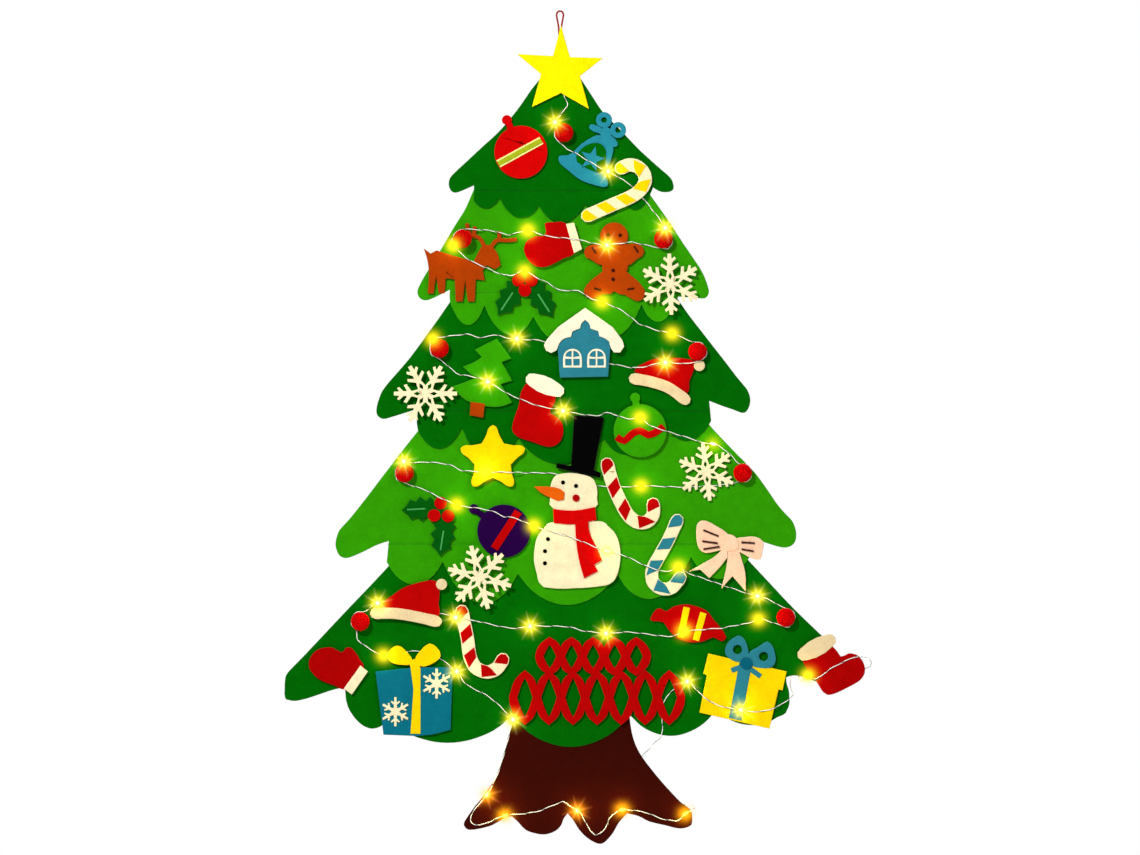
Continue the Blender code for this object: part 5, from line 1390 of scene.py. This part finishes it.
for number, (first, second) in enumerate(lamps):
    data = bpy.data.lights.new("glow_" + str(number), "POINT")
    on_trunk = on_sheet(first).y < trunk_height
    data.energy = GLOW_WATTS * (TRUNK_SHARE if on_trunk else 1)
    data.color = GLOW_COLOUR
    data.shadow_soft_size = GLOW_SIZE
    glow = bpy.data.objects.new(data.name, data)
    scene.collection.objects.link(glow)
    glow.location = (first + second) / 2 + FORWARD * GLOW_HEIGHT
print(len(lamps), "glows")

# %% [markdown]
# ## Pompoms
# A pompom is a ball of cut red yarn ends. A hair system would grow them, but hairs aren't part of
# a mesh, and an export loses them. So a ball with a lumpy surface is the core, and a node tree
# scatters short tapered tufts over it, each turned outwards and a little aside.

# %% Tree for tufts
TUFT_SIDES = 4
TUFT_TIP = 0.0002
TUFT_LEAN = (0.5, 0.5, 3.0)  # most that a tuft turns each way, round each axis


def tufts_tree():
    """A tree that covers a surface with short tufts."""
    tree, start, end = new_tree("yarn_tufts", [
        ("Density", "Float"), ("Tuft length", "Float"), ("Tuft radius", "Float"),
        ("Seed", "Int"), ("Material", "Material"),
    ])
    scatter = node(
        tree, "GeometryNodeDistributePointsOnFaces",
        Mesh=start.outputs["Geometry"], Density=start.outputs["Density"],
        Seed=start.outputs["Seed"],
    )
    tuft = node(
        tree, "GeometryNodeMeshCone", Vertices=TUFT_SIDES, Side_Segments=1,
        Radius_Top=TUFT_TIP, Radius_Bottom=start.outputs["Tuft radius"],
        Depth=start.outputs["Tuft length"],
    ).outputs["Mesh"]
    aside = node(
        tree, "FunctionNodeRandomValue", {"data_type": "FLOAT_VECTOR"},
        _0=tuple(-angle for angle in TUFT_LEAN), _1=TUFT_LEAN, Seed=start.outputs["Seed"],
    ).outputs["Value"]
    lean = node(tree, "FunctionNodeEulerToRotation", Euler=aside).outputs["Rotation"]
    turn = node(
        tree, "FunctionNodeRotateRotation", {"rotation_space": "LOCAL"},
        Rotation=scatter.outputs["Rotation"], Rotate_By=lean,
    ).outputs["Rotation"]
    placed = node(
        tree, "GeometryNodeInstanceOnPoints", Points=scatter.outputs["Points"],
        Instance=tuft, Rotation=turn,
    ).outputs["Instances"]
    together = node(tree, "GeometryNodeJoinGeometry")
    tree.links.new(placed, together.inputs["Geometry"])
    tree.links.new(start.outputs["Geometry"], together.inputs["Geometry"])
    real = node(
        tree, "GeometryNodeRealizeInstances", Geometry=together.outputs["Geometry"]
    ).outputs["Geometry"]
    painted = node(
        tree, "GeometryNodeSetMaterial", Geometry=real, Material=start.outputs["Material"]
    ).outputs["Geometry"]
    tree.links.new(painted, end.inputs["Geometry"])
    return tree


yarn_tufts = tufts_tree()
pompom_tones = [(0.32, (0.62, 0.0, 0.001, 1)), (0.62, (0.98, 0.001, 0.002, 1))]
pompom_red, surface = yarn("pompom_yarn", 900.0, 4.0, pompom_tones, 0.0006)
set_surface(surface, {
    "Roughness": 0.9, "Specular IOR Level": 0.06, "Sheen Weight": 0.04,
    "Sheen Tint": (1.0, 0.1, 0.08, 1),
})
print("tufts:", len(yarn_tufts.nodes), "nodes")

# %% Balls of yarn
POMPOMS = 9
POMPOM_CORE = 0.0092
CORE_LEVELS = 3
LUMP = 0.0006
LUMP_SCALE = 420
TUFT_DENSITY = 1500000.0  # per square metre
TUFT_LENGTH = 0.0022
TUFT_RADIUS = 0.00034

for number in range(1, POMPOMS + 1):
    name = "pompom_" + str(number)
    low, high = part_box(name)
    middle = (low + high) / 2
    centre = Vector((middle.x, low.y + (high.x - low.x) / 2, middle.z))
    ball = bmesh.new()
    bmesh.ops.create_icosphere(ball, subdivisions=CORE_LEVELS, radius=POMPOM_CORE)
    for vert in ball.verts:
        lump = mathutils.noise.noise(vert.co * LUMP_SCALE + Vector((number, 0, 0)))
        vert.co += vert.co.normalized() * lump * LUMP
        vert.co += centre
    for face in ball.faces:
        face.smooth = True
    source = finished("ball_" + str(number), ball, [pompom_red])
    pompom = run_tree(yarn_tufts, source, {
        "Density": TUFT_DENSITY, "Tuft length": TUFT_LENGTH, "Tuft radius": TUFT_RADIUS,
        "Seed": number, "Material": pompom_red,
    }, name + "_yarn")
    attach(pompom, body_of_node(name))
    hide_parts(name)
print(POMPOMS, "pompoms, the last with", len(pompom.data.polygons), "faces")

# %% [markdown]
# ## Battery box
# The box, its sliding cover and its switch are moulded plastic with a fine grain, and the cells
# wear a coloured film. New meshes could replace them, but the CAD shapes are right, so they stay
# and only get a material. The cover's grip ridges are a wave in its bump, between two heights.

# %% Plastics
RIDGE_PITCH = 0.0018
RIDGE_HEIGHT = 0.0004
GRAIN_SCALE = 1800.0
GRAIN_DEPTH = 0.00006
FILM_GRAIN = 0.00001
BLOTCH_SCALE = 60.0


def plastic(name, colour, grain=GRAIN_DEPTH, ridges=None):
    """Moulded plastic with a fine grain, and grip ridges between two heights if given."""
    made, tree, surface = new_material(name)
    on = object_place(tree)
    blotch = noise(tree, on, BLOTCH_SCALE, 3.0)
    tone = ramp(tree, blotch, [(0.3, scaled(colour, 0.9)), (0.7, scaled(colour, 1.05))])
    tree.links.new(tone, surface.inputs["Base Color"])
    relief = bump(tree, noise(tree, on, GRAIN_SCALE, 2.0), grain)
    if ridges:
        parts = tree.nodes.new("ShaderNodeSeparateXYZ")
        tree.links.new(on, parts.inputs["Vector"])
        height = parts.outputs["Z"]
        wave = maths(tree, "SINE", maths(tree, "MULTIPLY", height, math.tau / RIDGE_PITCH))
        above = maths(tree, "GREATER_THAN", height, ridges[0])
        within = maths(tree, "MULTIPLY", above, maths(tree, "LESS_THAN", height, ridges[1]))
        relief = bump(tree, maths(tree, "MULTIPLY", wave, within), RIDGE_HEIGHT, 1.0, relief)
    tree.links.new(relief, surface.inputs["Normal"])
    set_surface(surface, {"Roughness": 0.38})
    return made


print("grip ridges", RIDGE_PITCH * 1000, "mm apart")

# %% Box, cover, switch and cells
BOX_WHITE = (0.80, 0.80, 0.77)
GRIP_FROM = 0.08  # where the grip ridges begin and end, in shares of the cover's height
GRIP_TO = 0.26

cover_low, cover_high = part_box("battery_cover")
cover_span = cover_high.z - cover_low.z
grip = (cover_low.z + cover_span * GRIP_FROM, cover_low.z + cover_span * GRIP_TO)
cell_film = plastic("cell_film", (0.02, 0.16, 0.05), FILM_GRAIN)
BOX_MATERIALS = {
    "battery_box": plastic("white_plastic_grain", BOX_WHITE),
    "battery_cover": plastic("cover_plastic_grain", BOX_WHITE, ridges=grip),
    "switch_slider": plastic("dark_plastic_grain", (0.05, 0.05, 0.055)),
    "cell_1": cell_film,
    "cell_2": cell_film,
    "cell_3": cell_film,
}
for name, material in BOX_MATERIALS.items():
    for material_slot in nodes[name].material_slots:
        material_slot.material = material
print(len(BOX_MATERIALS), "solids keep their shape and get a material")

# %% [markdown]
# ## Flares
# The photograph shows each lamp in a warm halo, and the ones that look at the camera as stars,
# which is the camera's own doing. Rays could be modelled as thin fins, but they would be part of
# the object. The compositor adds them to the picture alone. The lamps are the only things that
# are brighter than white, so a glare that begins well over white touches nothing else. The halo
# is laid over the picture rather than added to it, so that it also shows on white.

# %% Helpers for the picture
scene.use_nodes = True
finish = scene.node_tree
finish.nodes.clear()
taken = finish.nodes.new("CompositorNodeRLayers")


def glare(kind, result, settings):
    """One output of a glare of the lamps alone."""
    made = finish.nodes.new("CompositorNodeGlare")
    made.glare_type = kind
    made.quality = "HIGH"
    for label, value in settings.items():
        made.inputs[label].default_value = value
    finish.links.new(taken.outputs["Image"], made.inputs["Image"])
    return made.outputs[result]


def mixed_picture(blend, factor, first, second):
    """Two pictures or colours mixed."""
    made = finish.nodes.new("CompositorNodeMixRGB")
    made.blend_type = blend
    for socket, value in zip(made.inputs, (factor, first, second)):
        if isinstance(value, bpy.types.NodeSocket):
            finish.links.new(value, socket)
        else:
            socket.default_value = value
    return made.outputs["Image"]


def blurred(image, radius):
    """A picture blurred over a radius."""
    made = finish.nodes.new("CompositorNodeBlur")
    made.filter_type = "GAUSS"
    made.inputs["Size"].default_value = (radius, radius)
    finish.links.new(image, made.inputs["Image"])
    return made.outputs["Image"]


print("picture helpers ready")

# %% Halos and rays
HALO_FROM = 3.2
HALO_CLIP = 6.0
HALO_RADIUS = 13  # in pixels of the picture
HALO_TINT = (2.6, 2.45, 0.12, 1)
RAYS_FROM = 15.0
RAYS_TURN = math.radians(14)

rays = glare("STREAKS", "Glare", {
    "Threshold": RAYS_FROM, "Strength": 0.9, "Tint": (1.0, 0.98, 1.0, 1), "Streaks": 8,
    "Streaks Angle": RAYS_TURN, "Iterations": 2, "Fade": 0.81, "Color Modulation": 0.0,
})
bright = glare("BLOOM", "Highlights", {
    "Threshold": HALO_FROM, "Clamp": True, "Maximum": HALO_CLIP,
})
halo = mixed_picture("MULTIPLY", 1.0, blurred(bright, HALO_RADIUS), HALO_TINT)
dimming = finish.nodes.new("CompositorNodeMath")  # how much of the picture a halo hides, at most 1
dimming.operation = "MULTIPLY"
dimming.use_clamp = True
dimming.inputs[1].default_value = 1.0
finish.links.new(halo, dimming.inputs[0])
dimmed = mixed_picture("MIX", dimming.outputs["Value"], taken.outputs["Image"], (0, 0, 0, 1))
picture = mixed_picture("ADD", 1.0, dimmed, halo)
picture = mixed_picture("ADD", 1.0, picture, rays)
shown = finish.nodes.new("CompositorNodeComposite")
finish.links.new(picture, shown.inputs["Image"])
print("glare set")
